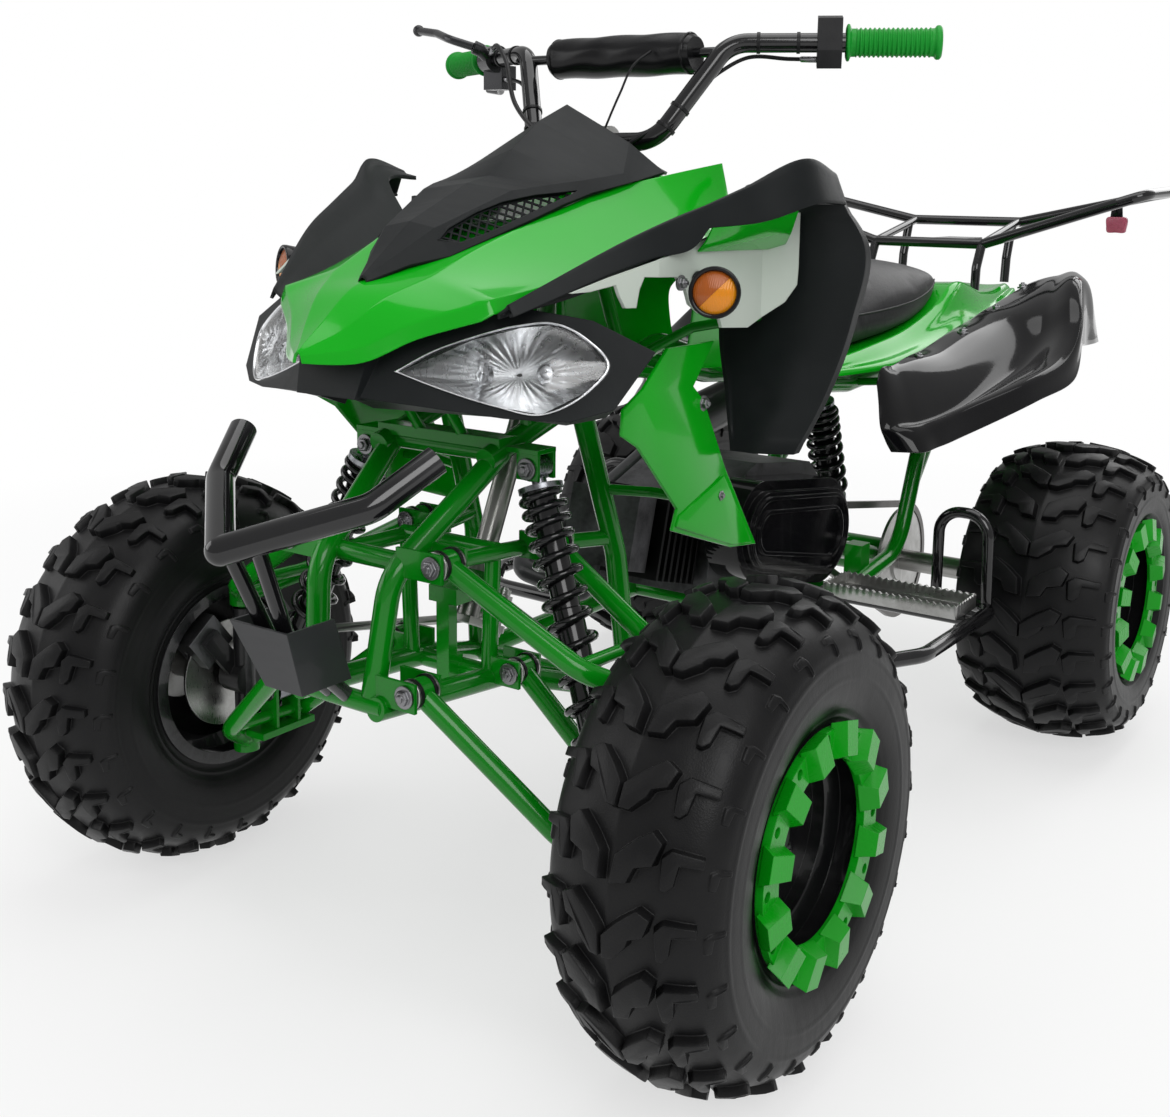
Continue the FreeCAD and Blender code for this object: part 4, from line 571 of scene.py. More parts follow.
def rings(middle: Array, radius: Array, first: Array, second: Array, sides: int) -> Array:
    """Circles about middle points: middle + radius (cos p first + sin p second).

    Args:
        middle: the points.
        radius: one radius, or one each.
        first: a direction in the circle's plane, one for all or one each.
        second: the direction square to it.
        sides: steps round a circle.

    Returns:
        The grid, point by angle.
    """
    angle = circle(sides)[None, :, None]
    first, second = (np.broadcast_to(way, middle.shape)[:, None] for way in (first, second))
    radius = np.broadcast_to(radius, (len(middle),))[:, None, None]
    return middle[:, None] + radius * (np.cos(angle) * first + np.sin(angle) * second)


def turned(profile: Sequence, centre: Sequence[float], axis: Sequence[float], sides: int) -> Array:
    """A profile of (along, radius) spun about an axis: rings about centre + along a, square to a.

    Args:
        profile: the places along the axis and the radii, in metres.
        centre: a point of the axis.
        axis: its direction.
        sides: steps round it.

    Returns:
        The grid, profile by angle.
    """
    axis = unit(np.asarray(axis, dtype=float))
    other = (0.0, 0.0, 1.0) if abs(axis[2]) < 0.9 else (1.0, 0.0, 0.0)
    u = unit(np.cross(axis, other))
    place, radius = np.asarray(profile, dtype=float).T
    return rings(np.asarray(centre) + place[:, None] * axis, radius, u, np.cross(axis, u), sides)


def pipe(path: Array, radius: float, sides: int = 12) -> Array:
    """A round tube along a path: rings about its points, square to its tangent.

    Args:
        path: points of the middle line.
        radius: the tube's radius.
        sides: steps round it.

    Returns:
        The grid, path by angle.
    """
    tangent = unit(np.gradient(path, axis=0))
    other = np.eye(3)[int(np.argmin(abs(tangent).max(axis=0)))]
    n = unit(np.cross(tangent, other))
    return rings(path, radius, n, np.cross(tangent, n), sides)


def quads(rows: int, columns: int, wrap_rows: bool, wrap_columns: bool, start: int = 0) -> Array:
    """Faces of a grid, joined round where it wraps.

    Args:
        rows: the grid's rows.
        columns: its columns.
        wrap_rows: whether the last row joins the first.
        wrap_columns: whether the last column joins the first.
        start: the index of its first point.

    Returns:
        Four indices for each face.
    """
    i = np.arange(rows if wrap_rows else rows - 1)[:, None]
    j = np.arange(columns if wrap_columns else columns - 1)[None, :]
    row, after = i * columns, (i + 1) % rows * columns
    beside = (j + 1) % columns
    return np.stack([row + j, row + beside, after + beside, after + j], axis=-1).reshape(-1, 4) + start


class Wrap(Enum):
    """How a grid closes on itself."""

    OPEN = (False, False)
    ROUND = (False, True)
    RING = (True, True)


@dataclass
class Piece:
    """One visible piece: grids and loose faces gathered into a mesh that rides on a body."""

    name: str
    body: str
    slot: str
    finish: Optional[str] = None
    replaces: Tuple[str, ...] = ()
    corner: float = 34.0
    points: List[Array] = field(default_factory=list)
    faces: List[List[int]] = field(default_factory=list)
    count: int = 0

    def grid(self, points: Array, wrap: Wrap = Wrap.OPEN, caps: bool = False) -> "Piece":
        """Adds a grid of points.

        Args:
            points: the grid.
            wrap: how it closes.
            caps: True closes the first and last rows of a round grid.

        Returns:
            The piece itself.
        """
        rows, columns = points.shape[:2]
        self.faces += quads(rows, columns, *wrap.value, self.count).tolist()
        if caps:
            last = self.count + (rows - 1) * columns
            self.faces.append(list(range(self.count, self.count + columns))[::-1])
            self.faces.append(list(range(last, last + columns)))
        self.points.append(points.reshape(-1, 3))
        self.count += rows * columns
        return self

    def spin(self, profile: Sequence, centre: Sequence[float], axis: Sequence[float], sides: int,
             caps: bool = True) -> "Piece":
        """Adds a profile turned about an axis, its ends closed unless caps is False."""
        return self.grid(turned(profile, centre, axis, sides), Wrap.ROUND, caps)

    def tube(self, path: Array, radius: float, sides: int) -> "Piece":
        """Adds a round tube with closed ends."""
        return self.grid(pipe(path, radius, sides), Wrap.ROUND, True)

    def prism(self, low: Array, rise: Point) -> "Piece":
        """Adds a block: an outline and the same outline moved by rise."""
        return self.grid(np.stack([low, low + rise]), Wrap.ROUND, True)

    def both(self) -> "Piece":
        """Adds the mirror copy of what is there, on the right, with its faces turned round.

        Returns:
            The piece itself.
        """
        self.faces += [[i + self.count for i in reversed(face)] for face in self.faces]
        self.points += [block * (-1.0, 1.0, 1.0) for block in self.points]
        self.count *= 2
        return self

    @staticmethod
    def face_out(form: bmesh.types.BMesh, inside: Optional[Sequence[float]]) -> None:
        """Turns faces outwards: a closed form's each, a sheet's all together by a vote of its area.

        Args:
            form: the mesh.
            inside: a point that a sheet faces away from, mirrored for its right half; None for closed forms.
        """
        if inside is None:
            bmesh.ops.recalc_face_normals(form, faces=form.faces)
            return
        votes = 0.0
        for face in form.faces:
            middle = face.calc_center_median()
            across = math.copysign(inside[0], middle.x) if inside[0] else 0.0
            away = middle - Vector((across, inside[1], inside[2]))
            votes += face.normal.dot(away.normalized()) * face.calc_area()
        if votes < 0:
            bmesh.ops.reverse_faces(form, faces=form.faces)

    def make(self, wall: float = 0.0, bevel: float = 0.0,
             inside: Optional[Sequence[float]] = None) -> bpy.types.Object:
        """Makes the mesh, with its thickness and softened edges worked in.

        Args:
            wall: the thickness of a sheet, added on its inner side.
            bevel: how wide sharp edges are rounded.
            inside: a point that a sheet faces away from; None for closed forms.

        Returns:
            The object, riding on its body and finished.
        """
        mesh = bpy.data.meshes.new(self.name)
        mesh.from_pydata(np.concatenate(self.points).tolist(), [], self.faces)
        mesh.update()
        form = bmesh.new()
        form.from_mesh(mesh)
        self.face_out(form, inside)
        form.to_mesh(mesh)
        form.free()
        item = bpy.data.objects.new(self.name, mesh)
        bpy.context.scene.collection.objects.link(item)
        if wall:
            shell = item.modifiers.new("wall", "SOLIDIFY")
            shell.thickness = wall
            shell.offset = -1.0
        if bevel:
            soft = item.modifiers.new("edges", "BEVEL")
            soft.width = bevel
            soft.segments = 2
            soft.limit_method = "ANGLE"
            soft.angle_limit = math.radians(self.corner)
            soft.use_clamp_overlap = True
        self.settle(item)
        return self.hand_over(item)

    def settle(self, item: bpy.types.Object) -> None:
        """Works an object's modifiers into its mesh and shades it smooth between its corners.

        Args:
            item: the object.
        """
        if item.modifiers:
            ready = item.evaluated_get(bpy.context.evaluated_depsgraph_get())
            mesh = bpy.data.meshes.new_from_object(ready)
            item.modifiers.clear()
            item.data = mesh
        item.data.shade_smooth()
        item.data.set_sharp_from_angle(angle=math.radians(self.corner))

    def cover(self, item: bpy.types.Object) -> None:
        """Gives an object the piece's finish."""
        item.data.materials.clear()
        item.data.materials.append(Finish.ready[self.finish or self.slot])

    def hand_over(self, item: bpy.types.Object) -> bpy.types.Object:
        """Gives a made object its finish, its body and its slot, and hides the node that it stands for.

        Args:
            item: the object.

        Returns:
            The same object.
        """
        self.cover(item)
        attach(item, self.body)
        if self.replaces:
            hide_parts(*self.replaces)
        LOG.info("%s: %d faces", self.name, len(item.data.polygons))
        return item


# Wheels

ACROSS = (1.0, 0.0, 0.0)
FRONT_HUB = (0.3965, -0.62, 0.2413)
REAR_HUB = (0.370, 0.45, 0.2286)


@dataclass
class Tyre:
    """A lugged tyre: casing spun from its section, and lugs laid round it in two alternating patterns."""

    name: str
    body: str
    node: str
    centre: Point
    radius: float
    width: float
    rim: float
    arrow: Outline = ((0, 22), (0, 2), (14, -12), (30, -26), (41, -20), (36, -4), (24, 1), (22, 8), (10, 22))
    lobe: Outline = ((4, 20), (6, -4), (20, -18), (34, -30), (43, -22), (38, -2), (24, 3), (19, 17))
    side: Outline = ((46, 16), (44, -10), (51, -18), (76, -17), (76, -8), (58, -7), (56, 11), (51, 17))
    tick: Outline = ((84, 12), (84, -3), (90, -7), (103, -7), (103, -2), (92, -1), (90, 12))
    lug: float = 0.011
    side_lug: float = 0.009
    tick_lug: float = 0.0022
    foot: float = 0.0022
    bead_seat: float = 0.1016
    shoulder: float = 0.014
    drawn: float = 0.075
    pitches: int = 12
    steps: int = 144

    def section(self) -> Array:
        """The casing's section: crown, round shoulder, bulged wall with its raised rings, and the bead.

        Returns:
            Points of (across, radius) from the outer bead over the crown to the inner one.
        """
        half, crown = self.width / 2, self.radius - self.lug
        reach, bead, seat = half - self.shoulder, self.rim / 2 - 0.003, self.bead_seat
        bulge = (seat + crown) / 2
        line = along([(bead, seat + 0.001), (bead + 0.001, seat + 0.0145), (half - 0.004, bulge - 0.026),
                      (half, bulge), (half - 0.004, bulge + 0.027), (reach, crown - 0.024),
                      (reach * 0.6, crown - 0.0088), (0.0, crown)], 84)
        for place, high, wide in ((seat + 0.021, 0.0016, 0.0016), (seat + 0.030, 0.0010, 0.0010),
                                  (bulge - 0.004, 0.0009, 0.0010), (bulge + 0.017, 0.0012, 0.0014)):
            line[:, 0] += high * np.exp(-((line[:, 1] - place) / wide) ** 2) * (line[:, 0] > bead + 0.002)
        return np.concatenate([line, (line * (-1.0, 1.0))[::-1][1:]])

    def lay(self, across: Array, forward: Array, high: Array, turn: float, mirror: float) -> Array:
        """Lays points on the casing: across by length over the section, forward by angle, up its normal.

        Args:
            across: lengths from the crown's middle over the section, in metres.
            forward: lengths round the tyre, in metres.
            high: heights above the casing.
            turn: where round the tyre the pattern stands.
            mirror: 1 for the outer half, -1 for the inner one.

        Returns:
            The points.
        """
        line = self.section()
        line = line[: len(line) // 2 + 1][::-1]
        length = reached(line)
        slope = unit(np.gradient(line, axis=0))
        x = np.interp(across, length, line[:, 0]) + high * np.interp(across, length, -slope[:, 1])
        r = np.interp(across, length, line[:, 1]) + high * np.interp(across, length, slope[:, 0])
        angle = turn + forward / self.radius
        return np.stack([mirror * x, -r * np.sin(angle), r * np.cos(angle)], axis=-1) + self.centre

    def lugs(self, piece: Piece, outline: Outline, first: int, high: float) -> None:
        """Adds one lug pattern round the tyre: a flat-topped block whose foot is wider than its top.

        Args:
            piece: the tyre's piece.
            outline: the lug's corners, across and forward, in millimetres.
            first: 0 or 1, which half of the pitch it starts on.
            high: its height.
        """
        scale = (self.width / 2 - self.shoulder) / self.drawn
        corners = np.asarray(outline, dtype=float) * (scale, 1.0) / 1000.0
        closed = np.concatenate([corners, corners[:1]])
        share = (np.arange(3) / 3.0)[None, :, None]
        ring = (closed[:-1, None] * (1 - share) + closed[1:, None] * share).reshape(-1, 2)
        away = unit(ring - ring.mean(axis=0))
        level = np.stack([ring + away * self.foot, ring + away * 0.0006, ring - away * 0.0001])
        level[..., 0] = np.where(ring[:, 0] < 1e-6, 0.0, np.maximum(level[..., 0], 0.0))
        heights = np.array([-0.0015, high * 0.55, high])[:, None] + np.zeros(len(ring))
        for index in range(first, 2 * self.pitches, 2):
            for mirror in (1.0, -1.0):
                turn = index * math.pi / self.pitches
                piece.grid(self.lay(level[..., 0], level[..., 1], heights, turn, mirror), Wrap.ROUND, True)

    def build(self) -> None:
        """Makes the casing with its hollow, and the lugs."""
        stands_for = (self.node,) if self.node else ()
        piece = Piece(self.name, self.body, "tyre_rubber", replaces=stands_for, corner=40.0)
        foot, half, low, wide = self.rim / 2 - 0.012, self.width / 2 - 0.011, 0.1025, 0.16
        inner = [(-foot, low), (-half, wide), (0.0, self.radius - 0.02), (half, wide), (foot, low)]
        loop = np.concatenate([self.section(), inner])
        piece.grid(turned(loop, self.centre, ACROSS, self.steps), Wrap.RING)
        self.lugs(piece, self.arrow, 0, self.lug)
        self.lugs(piece, self.lobe, 1, self.lug)
        for first in (0, 1):
            self.lugs(piece, self.side, first, self.side_lug)
            self.lugs(piece, self.tick, first, self.tick_lug)
        piece.make(bevel=0.0011)


class Tyres:
    """The four tyres on their wheels; the rear pair stands for one node."""

    @staticmethod
    def build() -> None:
        """Makes every tyre."""
        for side, way in (("left", 1.0), ("right", -1.0)):
            x, y, z = FRONT_HUB
            Tyre("tyre_front_" + side, side + "_front_wheel", "front_tyre_" + side, (way * x, y, z), z, 0.178,
                 0.150).build()
        for side, way, node in (("left", 1.0, "rear_tyres"), ("right", -1.0, "")):
            x, y, z = REAR_HUB
            Tyre("tyre_rear_" + side, "rear_axle_set", node, (way * x, y, z), z, 0.226, 0.190).build()


# Body panels

def mirrored_row(half: Outline, y: float) -> List[Point]:
    """A cross row from its right edge to its left edge, from the left half's (across, height) points."""
    left = [(x, y, z) for x, z in half]
    return [(-x, y, z) for x, y, z in left[:-1]] + left[::-1]


@dataclass
class Panel:
    """A moulded panel: a smooth sheet through a table of points, thickened on its inner side."""

    names: Tuple[str, str] = ("", "")
    finish: str = "green_plastic"
    grid: Tuple[int, int] = (70, 101)
    wall: float = 0.0028
    bevel: float = 0.0010
    inside: Point = (0.0, 0.0, 0.0)
    creases: Sequence[int] = ()
    folds: Sequence[int] = ()
    paired: bool = False
    rows: Sequence = ()

    def table(self) -> Sequence:
        """The points that the sheet runs through, row by row, in drawn millimetres."""
        return self.rows

    def surface(self) -> Array:
        """The sheet as a grid of points."""
        return sheet(metres(self.table()), *self.grid, self.creases, self.folds)

    def build(self) -> None:
        """Makes the panel, in place of the node that its names end with."""
        piece = Piece(self.names[0], "chassis", self.finish, replaces=self.names[1:]).grid(self.surface())
        if self.paired:
            piece.both()
        piece.make(wall=self.wall, bevel=self.bevel, inside=self.inside)


@dataclass
class Fairing(Panel):
    """The painted nose and bonnet: a ridged nose that opens into wide shoulders, with turned-down edges."""

    names: Tuple[str, str] = ("bonnet_shell", "front_fairing")
    grid: Tuple[int, int] = (78, 101)
    bevel: float = 0.0009
    inside: Point = (0.0, -0.4, 0.2)
    creases: Sequence[int] = (1, 2, 3, 4, 5)
    folds: Sequence[int] = (4, 5)
    rows: Sequence = (
        (-720, ((6, 670), (4, 677), (2, 680), (0, 681))),
        (-706, ((25, 669), (21, 680), (11, 688), (0, 692))),
        (-690, ((47, 670), (41, 683), (23, 697), (0, 704))),
        (-648, ((91, 694), (84, 708), (46, 729), (0, 736))),
        (-612, ((138, 711), (129, 725), (62, 746), (0, 749))),
        (-603, ((147, 718), (140, 731), (66, 750), (0, 752))),
        (-540, ((156, 724), (151, 740), (75, 776), (0, 774))),
        (-470, ((164, 736), (160, 754), (90, 801), (0, 796))),
        (-360, ((174, 766), (171, 788), (113, 836), (0, 800))),
        (-300, ((177, 786), (174, 810), (139, 850), (0, 800))),
        (-212, ((178, 800), (176, 826), (166, 866), (0, 800))),
    )

    def table(self) -> Sequence:
        """Each station's left half and its mirror image."""
        return [mirrored_row(half, y) for y, half in self.rows]


@dataclass
class Flares(Panel):
    """The long black strips along the bonnet's edges: a rounded crest over a folded lower lip."""

    names: Tuple[str, str] = ("flare_strips", "flares")
    finish: str = "matte_black"
    grid: Tuple[int, int] = (80, 29)
    wall: float = 0.0032
    inside: Point = (0.15, -0.4, 0.45)
    creases: Sequence[int] = (1, 5)
    folds: Sequence[int] = (3,)
    paired: bool = True
    rows: Sequence = (
        (-600, (162, 727), (168, 716), (148, 718)),
        (-470, (233, 796), (242, 770), (166, 740)),
        (-425, (252.2, 813.2), (262, 781), (171, 752)),
        (-405, (260.8, 820.8), (266, 799), (173, 757)),
        (-360, (280, 838), (292, 803), (178, 769)),
        (-280, (317, 867), (330, 824), (288, 848)),
        (-226, (318, 853), (331, 822), (292, 848)),
    )

    def table(self) -> Sequence:
        """Rows from the inner foot over the crest to the lip.

        Returns:
            The rows, from each station's crest, low and inner points.
        """
        table = []
        for y, *places in self.rows:
            crest, low, inner = (np.array((x, y, z), dtype=float) for x, z in places)
            table.append([inner + (0.0, 0.0, -5.0), inner, crest + (inner - crest) * 0.35, crest,
                          crest + (low - crest) * 0.18, low, low + (-5.0, 0.0, -1.0)])
        return table


@dataclass
class SplashPanels(Panel):
    """The tall black walls behind the front wheels, folded forwards along their outer edges."""

    names: Tuple[str, str] = ("splash_walls", "splash_panels")
    finish: str = "matte_black"
    grid: Tuple[int, int] = (50, 44)
    wall: float = 0.0036
    inside: Point = (0.2, 0.4, 0.6)
    creases: Sequence[int] = (2,)
    paired: bool = True
    rows: Sequence = (
        (821.5, ((232, -214), (290, -216), (318, -207), (316, -196))),
        (778, ((200, -206), (300, -205), (336, -190), (334, -172))),
        (694, ((164, -204), (280, -205), (326, -192), (324, -172))),
        (600, ((186, -226), (260, -226), (300, -207), (299, -190))),
        (540, ((206, -246), (250, -240), (276, -224), (276, -210))),
    )

    def table(self) -> Sequence:
        """Rows at falling heights, each from the inner edge to the folded one."""
        return [[(x, y, z) for x, y in line] for z, line in self.rows]

    def surface(self) -> Array:
        """The wall with a long dish near its foot and a raised rim, each a bell curve.

        Returns:
            The grid of points.
        """
        surface = super().surface()
        down, across = (np.linspace(0, 1, count) for count in self.grid)
        down, across = down[:, None], across[None, :]
        dish = np.exp(-(((across - 0.42) / 0.16) ** 2 + ((down - 0.80) / 0.05) ** 2))
        rim = np.exp(-((np.minimum(np.minimum(down, 1 - down), across) - 0.045) / 0.012) ** 2)
        surface[..., 1] += 0.004 * dish - 0.0016 * rim
        return surface


@dataclass
class RearFenders(Panel):
    """The glossy rear fenders: flange, scoop that climbs at the back, lip and skirt in one smooth skin."""

    names: Tuple[str, str] = ("fender_skins", "rear_fenders")
    finish: str = "gloss_black"
    grid: Tuple[int, int] = (84, 52)
    wall: float = 0.0030
    inside: Point = (0.2, 0.45, 0.2)
    paired: bool = True
    rows: Sequence = (
        (193, ((189, 570), (192, 548), (197, 506), (204, 490), (214, 474))),
        (200, ((190, 586), (196, 566), (206, 512), (224, 498), (245, 476))),
        (250, ((186, 589), (200, 578), (226, 510), (248, 512), (264, 480))),
        (300, ((180, 593), (203, 585), (240, 514), (266, 526), (280, 490))),
        (420, ((168, 600.5), (208, 594), (268, 540), (322, 566), (342, 532))),
        (520, ((166, 617), (208, 614), (282, 570), (342, 596), (364, 556))),
        (600, ((166, 629), (208, 632), (282, 612), (336, 640), (348, 598))),
        (640, ((168, 638), (208, 644), (276, 644), (325, 674), (338, 594))),
        (690, ((170, 646), (208, 656), (262, 672), (310, 701), (329, 590))),
        (750, ((173, 658), (206, 671), (250, 690), (300, 702), (325, 588))),
        (784, ((180, 668), (203, 682), (244, 694), (288, 701), (320, 587))),
    )

    def table(self) -> Sequence:
        """Rows of flange, bend, scoop, lip and edge, with points that tighten the bends and the lip.

        Returns:
            The rows, seven points each.
        """
        table = []
        for y, line in self.rows:
            flange, bend, scoop, lip, edge = (np.array((x, y, z), dtype=float) for x, z in line)
            table.append([flange, bend + (flange - bend) * 0.22, bend + (scoop - bend) * 0.16, scoop,
                          lip + (scoop - lip) * 0.22, lip + (edge - lip) * 0.10, edge])
        return table


@dataclass
class TailBody(Panel):
    """The painted tail under the seat, with a raised rim round the seat's foot."""

    names: Tuple[str, str] = ("tail_shell", "tail_body")
    inside: Point = (0.0, 0.45, 0.55)
    rows: Sequence = (
        (150, 122, 574, 112, 588), (320, 158, 576, 124, 606), (450, 163, 588, 126, 622),
        (560, 163, 598, 126, 650), (640, 160, 606, 122, 682), (780, 148, 622, 116, 662),
        (860, 132, 634, 108, 658), (965, 112, 648, 96, 664))

    def table(self) -> Sequence:
        """Rows from each station's foot and head, as half width and height each."""
        return [mirrored_row(((foot, low), (foot - 1, low + 5), ((foot + head) / 2 - 3, (low + high) / 2),
                              (head + 3, high - 5), (head - 4, high), (head - 14, high - 1.5),
                              (0, high - 2)), y)
                for y, foot, low, head, high in self.rows]


@dataclass
class TankCover(Panel):
    """The painted cover from the steering column to the seat, full at its waist and rounded over the top."""

    names: Tuple[str, str] = ("tank_shell", "tank_cover")
    grid: Tuple[int, int] = (48, 91)
    bevel: float = 0.0012
    inside: Point = (0.0, -0.1, 0.5)
    rows: Sequence = ((-196, 112, 620, 70, 862), (-60, 108, 612, 66, 812), (104, 90, 606, 62, 756))

    def table(self) -> Sequence:
        """Rows from each station's foot and head, as half width and height each."""
        return [mirrored_row(((foot, low), (foot + 10, low + (high - low) * 0.28),
                              (foot + 12, low + (high - low) * 0.55), (head + 14, high - 34),
                              (head + 1, high - 8), (head - 12, high - 1), (0, high)), y)
                for y, foot, low, head, high in self.rows]


# Seat and pad

def read_places(mesh: bpy.types.Mesh) -> Array:
    """A mesh's points.

    Args:
        mesh: the mesh.

    Returns:
        One row for each point.
    """
    flat = np.empty(len(mesh.vertices) * 3)
    mesh.vertices.foreach_get("co", flat)
    return flat.reshape(-1, 3)


@dataclass
class Seat:
    """The padded seat: a crowned closed form that cloth under pressure fills, with its welt sewn on after."""

    cap: float = 0.010
    voxel: float = 0.005
    pressure: float = 4.0
    steps: int = 20
    held: float = 0.012
    welt_height: float = 0.42
    welt_radius: float = 0.0016
    stations: Sequence[Tuple[float, float, float, float]] = (
        (152, 84, 590, 728), (170, 92, 592, 731), (320, 104, 602, 720), (430, 113, 614, 716),
        (500, 114, 626, 714), (560, 110, 645, 712), (612, 97, 670, 706), (640, 78, 684, 696))

    def form(self) -> Array:
        """The closed form: rounded boxes, x = half times a softened cosine, z by a softened sine.

        Returns:
            The grid of sections.
        """
        y, half, low, high = along(self.stations, 64).T[:, :, None]
        angle = circle(72)
        cosine, sine = np.cos(angle), np.sin(angle)
        wide = np.sign(cosine) * abs(cosine) ** 0.55
        tall = np.where(sine > 0, abs(sine) ** 0.75, -abs(sine) ** 0.25)
        pinch = 1.0 - 0.10 * np.maximum(sine, 0.0)
        x = half * wide * pinch
        z = (low + high) / 2 + (high - low) / 2 * tall
        return metres(np.stack([x, np.broadcast_to(y, x.shape), z], axis=-1))

    def fill(self, item: bpy.types.Object) -> None:
        """Fills the cover: cloth under pressure, held at its foot, each point's way capped.

        Args:
            item: the seat's object.
        """
        mesh = item.data
        rest = read_places(mesh)
        floor = np.interp(rest[:, 1], *(metres([(0, s[0], s[2]) for s in self.stations])[:, 1:].T))
        hold = item.vertex_groups.new(name="foot")
        hold.add(np.nonzero(rest[:, 2] < floor + self.held)[0].tolist(), 1.0, "REPLACE")
        cloth = item.modifiers.new("cover", "CLOTH")
        cloth.settings.use_pressure = True
        cloth.settings.uniform_pressure_force = self.pressure
        cloth.settings.effector_weights.gravity = 0.0
        cloth.settings.vertex_group_mass = "foot"
        cloth.point_cache.frame_start, cloth.point_cache.frame_end = 1, self.steps
        for step in range(1, self.steps + 1):
            bpy.context.scene.frame_set(step)
        way = read_places(item.evaluated_get(bpy.context.evaluated_depsgraph_get()).data) - rest
        length = np.linalg.norm(way, axis=1, keepdims=True)
        way *= np.minimum(1.0, self.cap / np.maximum(length, 1e-9))
        item.modifiers.clear()
        item.vertex_groups.clear()
        mesh.vertices.foreach_set("co", (rest + way).ravel())
        mesh.update()
        bpy.context.scene.frame_set(1)

    def build(self) -> None:
        """Makes the cushion and its welt."""
        piece = Piece("seat_cushion", "chassis", "seat_cover", replaces=("seat",), corner=70.0)
        item = piece.grid(self.form(), Wrap.ROUND, True).make()
        remesh = item.modifiers.new("cells", "REMESH")
        remesh.mode = "VOXEL"
        remesh.voxel_size = self.voxel
        piece.settle(item)
        piece.cover(item)
        self.fill(item)
        smooth = item.modifiers.new("even", "SMOOTH")
        smooth.factor, smooth.iterations = 0.5, 6
        fine = item.modifiers.new("rounds", "SUBSURF")
        fine.levels = fine.render_levels = 1
        piece.settle(item)
        self.welt(item)

    def welt(self, cover: bpy.types.Object) -> None:
        """Sews a thin welt round the cover, as far out as the cover's points nearest to it.

        Args:
            cover: the filled cushion.
        """
        places = read_places(cover.data)
        line = along([(y, low + self.welt_height * (high - low)) for y, _, low, high in self.stations], 90)
        marks = metres(np.pad(line, ((0, 0), (1, 0))))[2:-2]
        near = [places[np.argsort(((places[:, 1:] - mark[1:]) ** 2).sum(axis=1))[:24]] for mark in marks]
        reach = np.array([abs(block[:, 0]).max() for block in near])
        reach = np.convolve(np.pad(reach, 3, mode="edge"), np.ones(7) / 7, mode="valid") - 0.0004
        marks[:, 0] += reach
        Piece("seat_welt", "chassis", "seat_cover").tube(marks, self.welt_radius, 8).both().make()


@dataclass
class BarPad:
    """The round pad on the handlebar's brace: a smooth cover that is drawn in at its stitched ends."""

    centre: Point = (4.0, -178.0, 994.0)
    half: float = 0.103
    radius: float = 0.0250
    seam: float = 0.93
    crease: float = 0.0006
    sides: int = 72
    thread: Outline = ((-0.0014, 0.0), (-0.0008, 0.0009), (0.0008, 0.0009), (0.0014, 0.0))

    def build(self) -> None:
        """Makes the cover and its end seams: radius = a slow swell, with creases that wind along it."""
        t = np.linspace(-1.0, 1.0, 61)
        swell = self.radius * (1 - 0.05 * t ** 2) * (1 - np.maximum(abs(t) - self.seam, 0) / 0.07 * 0.16)
        ends = np.array([(-self.half + 0.001, 0.0065), (-self.half + 0.0003, 0.015)])
        middle = np.stack([t * self.half, swell], axis=-1)
        profile = np.concatenate([ends, middle, (ends * (-1.0, 1.0))[::-1]])
        centre = metres(self.centre)
        grid = turned(profile, centre, ACROSS, self.sides)
        wind = 3 * circle(self.sides)[None, :, None] + 9 * profile[:, 0, None, None] / self.half
        crease = self.crease * np.sin(wind)
        away = (grid - centre) * (0.0, 1.0, 1.0)
        piece = Piece("bar_pad_cover", "steering", "black_foam", replaces=("bar_pad",), corner=50.0)
        piece.grid(grid + unit(away) * crease, Wrap.ROUND, True)
        for place in (-self.seam, self.seam):
            ring = [(place * self.half + a, self.radius * 0.955 + b) for a, b in self.thread]
            piece.spin(ring, centre, ACROSS, self.sides, caps=False)
        piece.make()


@dataclass
class Grips:
    """The soft ribbed grips: flanges at both ends and rings between them."""

    inner: Point = (148.0, -172.0, 1004.0)
    outer: Point = (358.0, -62.0, 1004.0)
    long: float = 0.104
    radius: float = 0.0158
    rib: float = 0.0009
    pitch: float = 0.0052
    flanges: Pair = (0.0052, 0.0034)

    def build(self) -> None:
        """Makes both grips: radius = body + rib height times a rounded wave, rising at each flange."""
        end = metres(self.outer)
        axis = unit(end - metres(self.inner))
        a = np.linspace(0.0, self.long + 0.004, 240)
        wave = np.clip(np.sin(a / self.pitch * 2 * math.pi) * 1.4, -1, 1)
        middle = (a > 0.012) & (a < self.long - 0.008)
        radius = self.radius + np.where(middle, self.rib * wave, 0.0)
        inner, outer = self.flanges
        radius += (inner * np.exp(-((a - 0.003) / 0.0026) ** 4)
                   + outer * np.exp(-((a - self.long) / 0.0036) ** 4))
        profile = [(0.0, 0.0113), *np.stack([a, radius], axis=-1), (self.long + 0.0042, 0.004)]
        piece = Piece("ribbed_grips", "steering", "green_rubber", replaces=("grips",), corner=50.0)
        piece.spin(profile, end - axis * self.long, axis, 48).both().make()


# Lamps

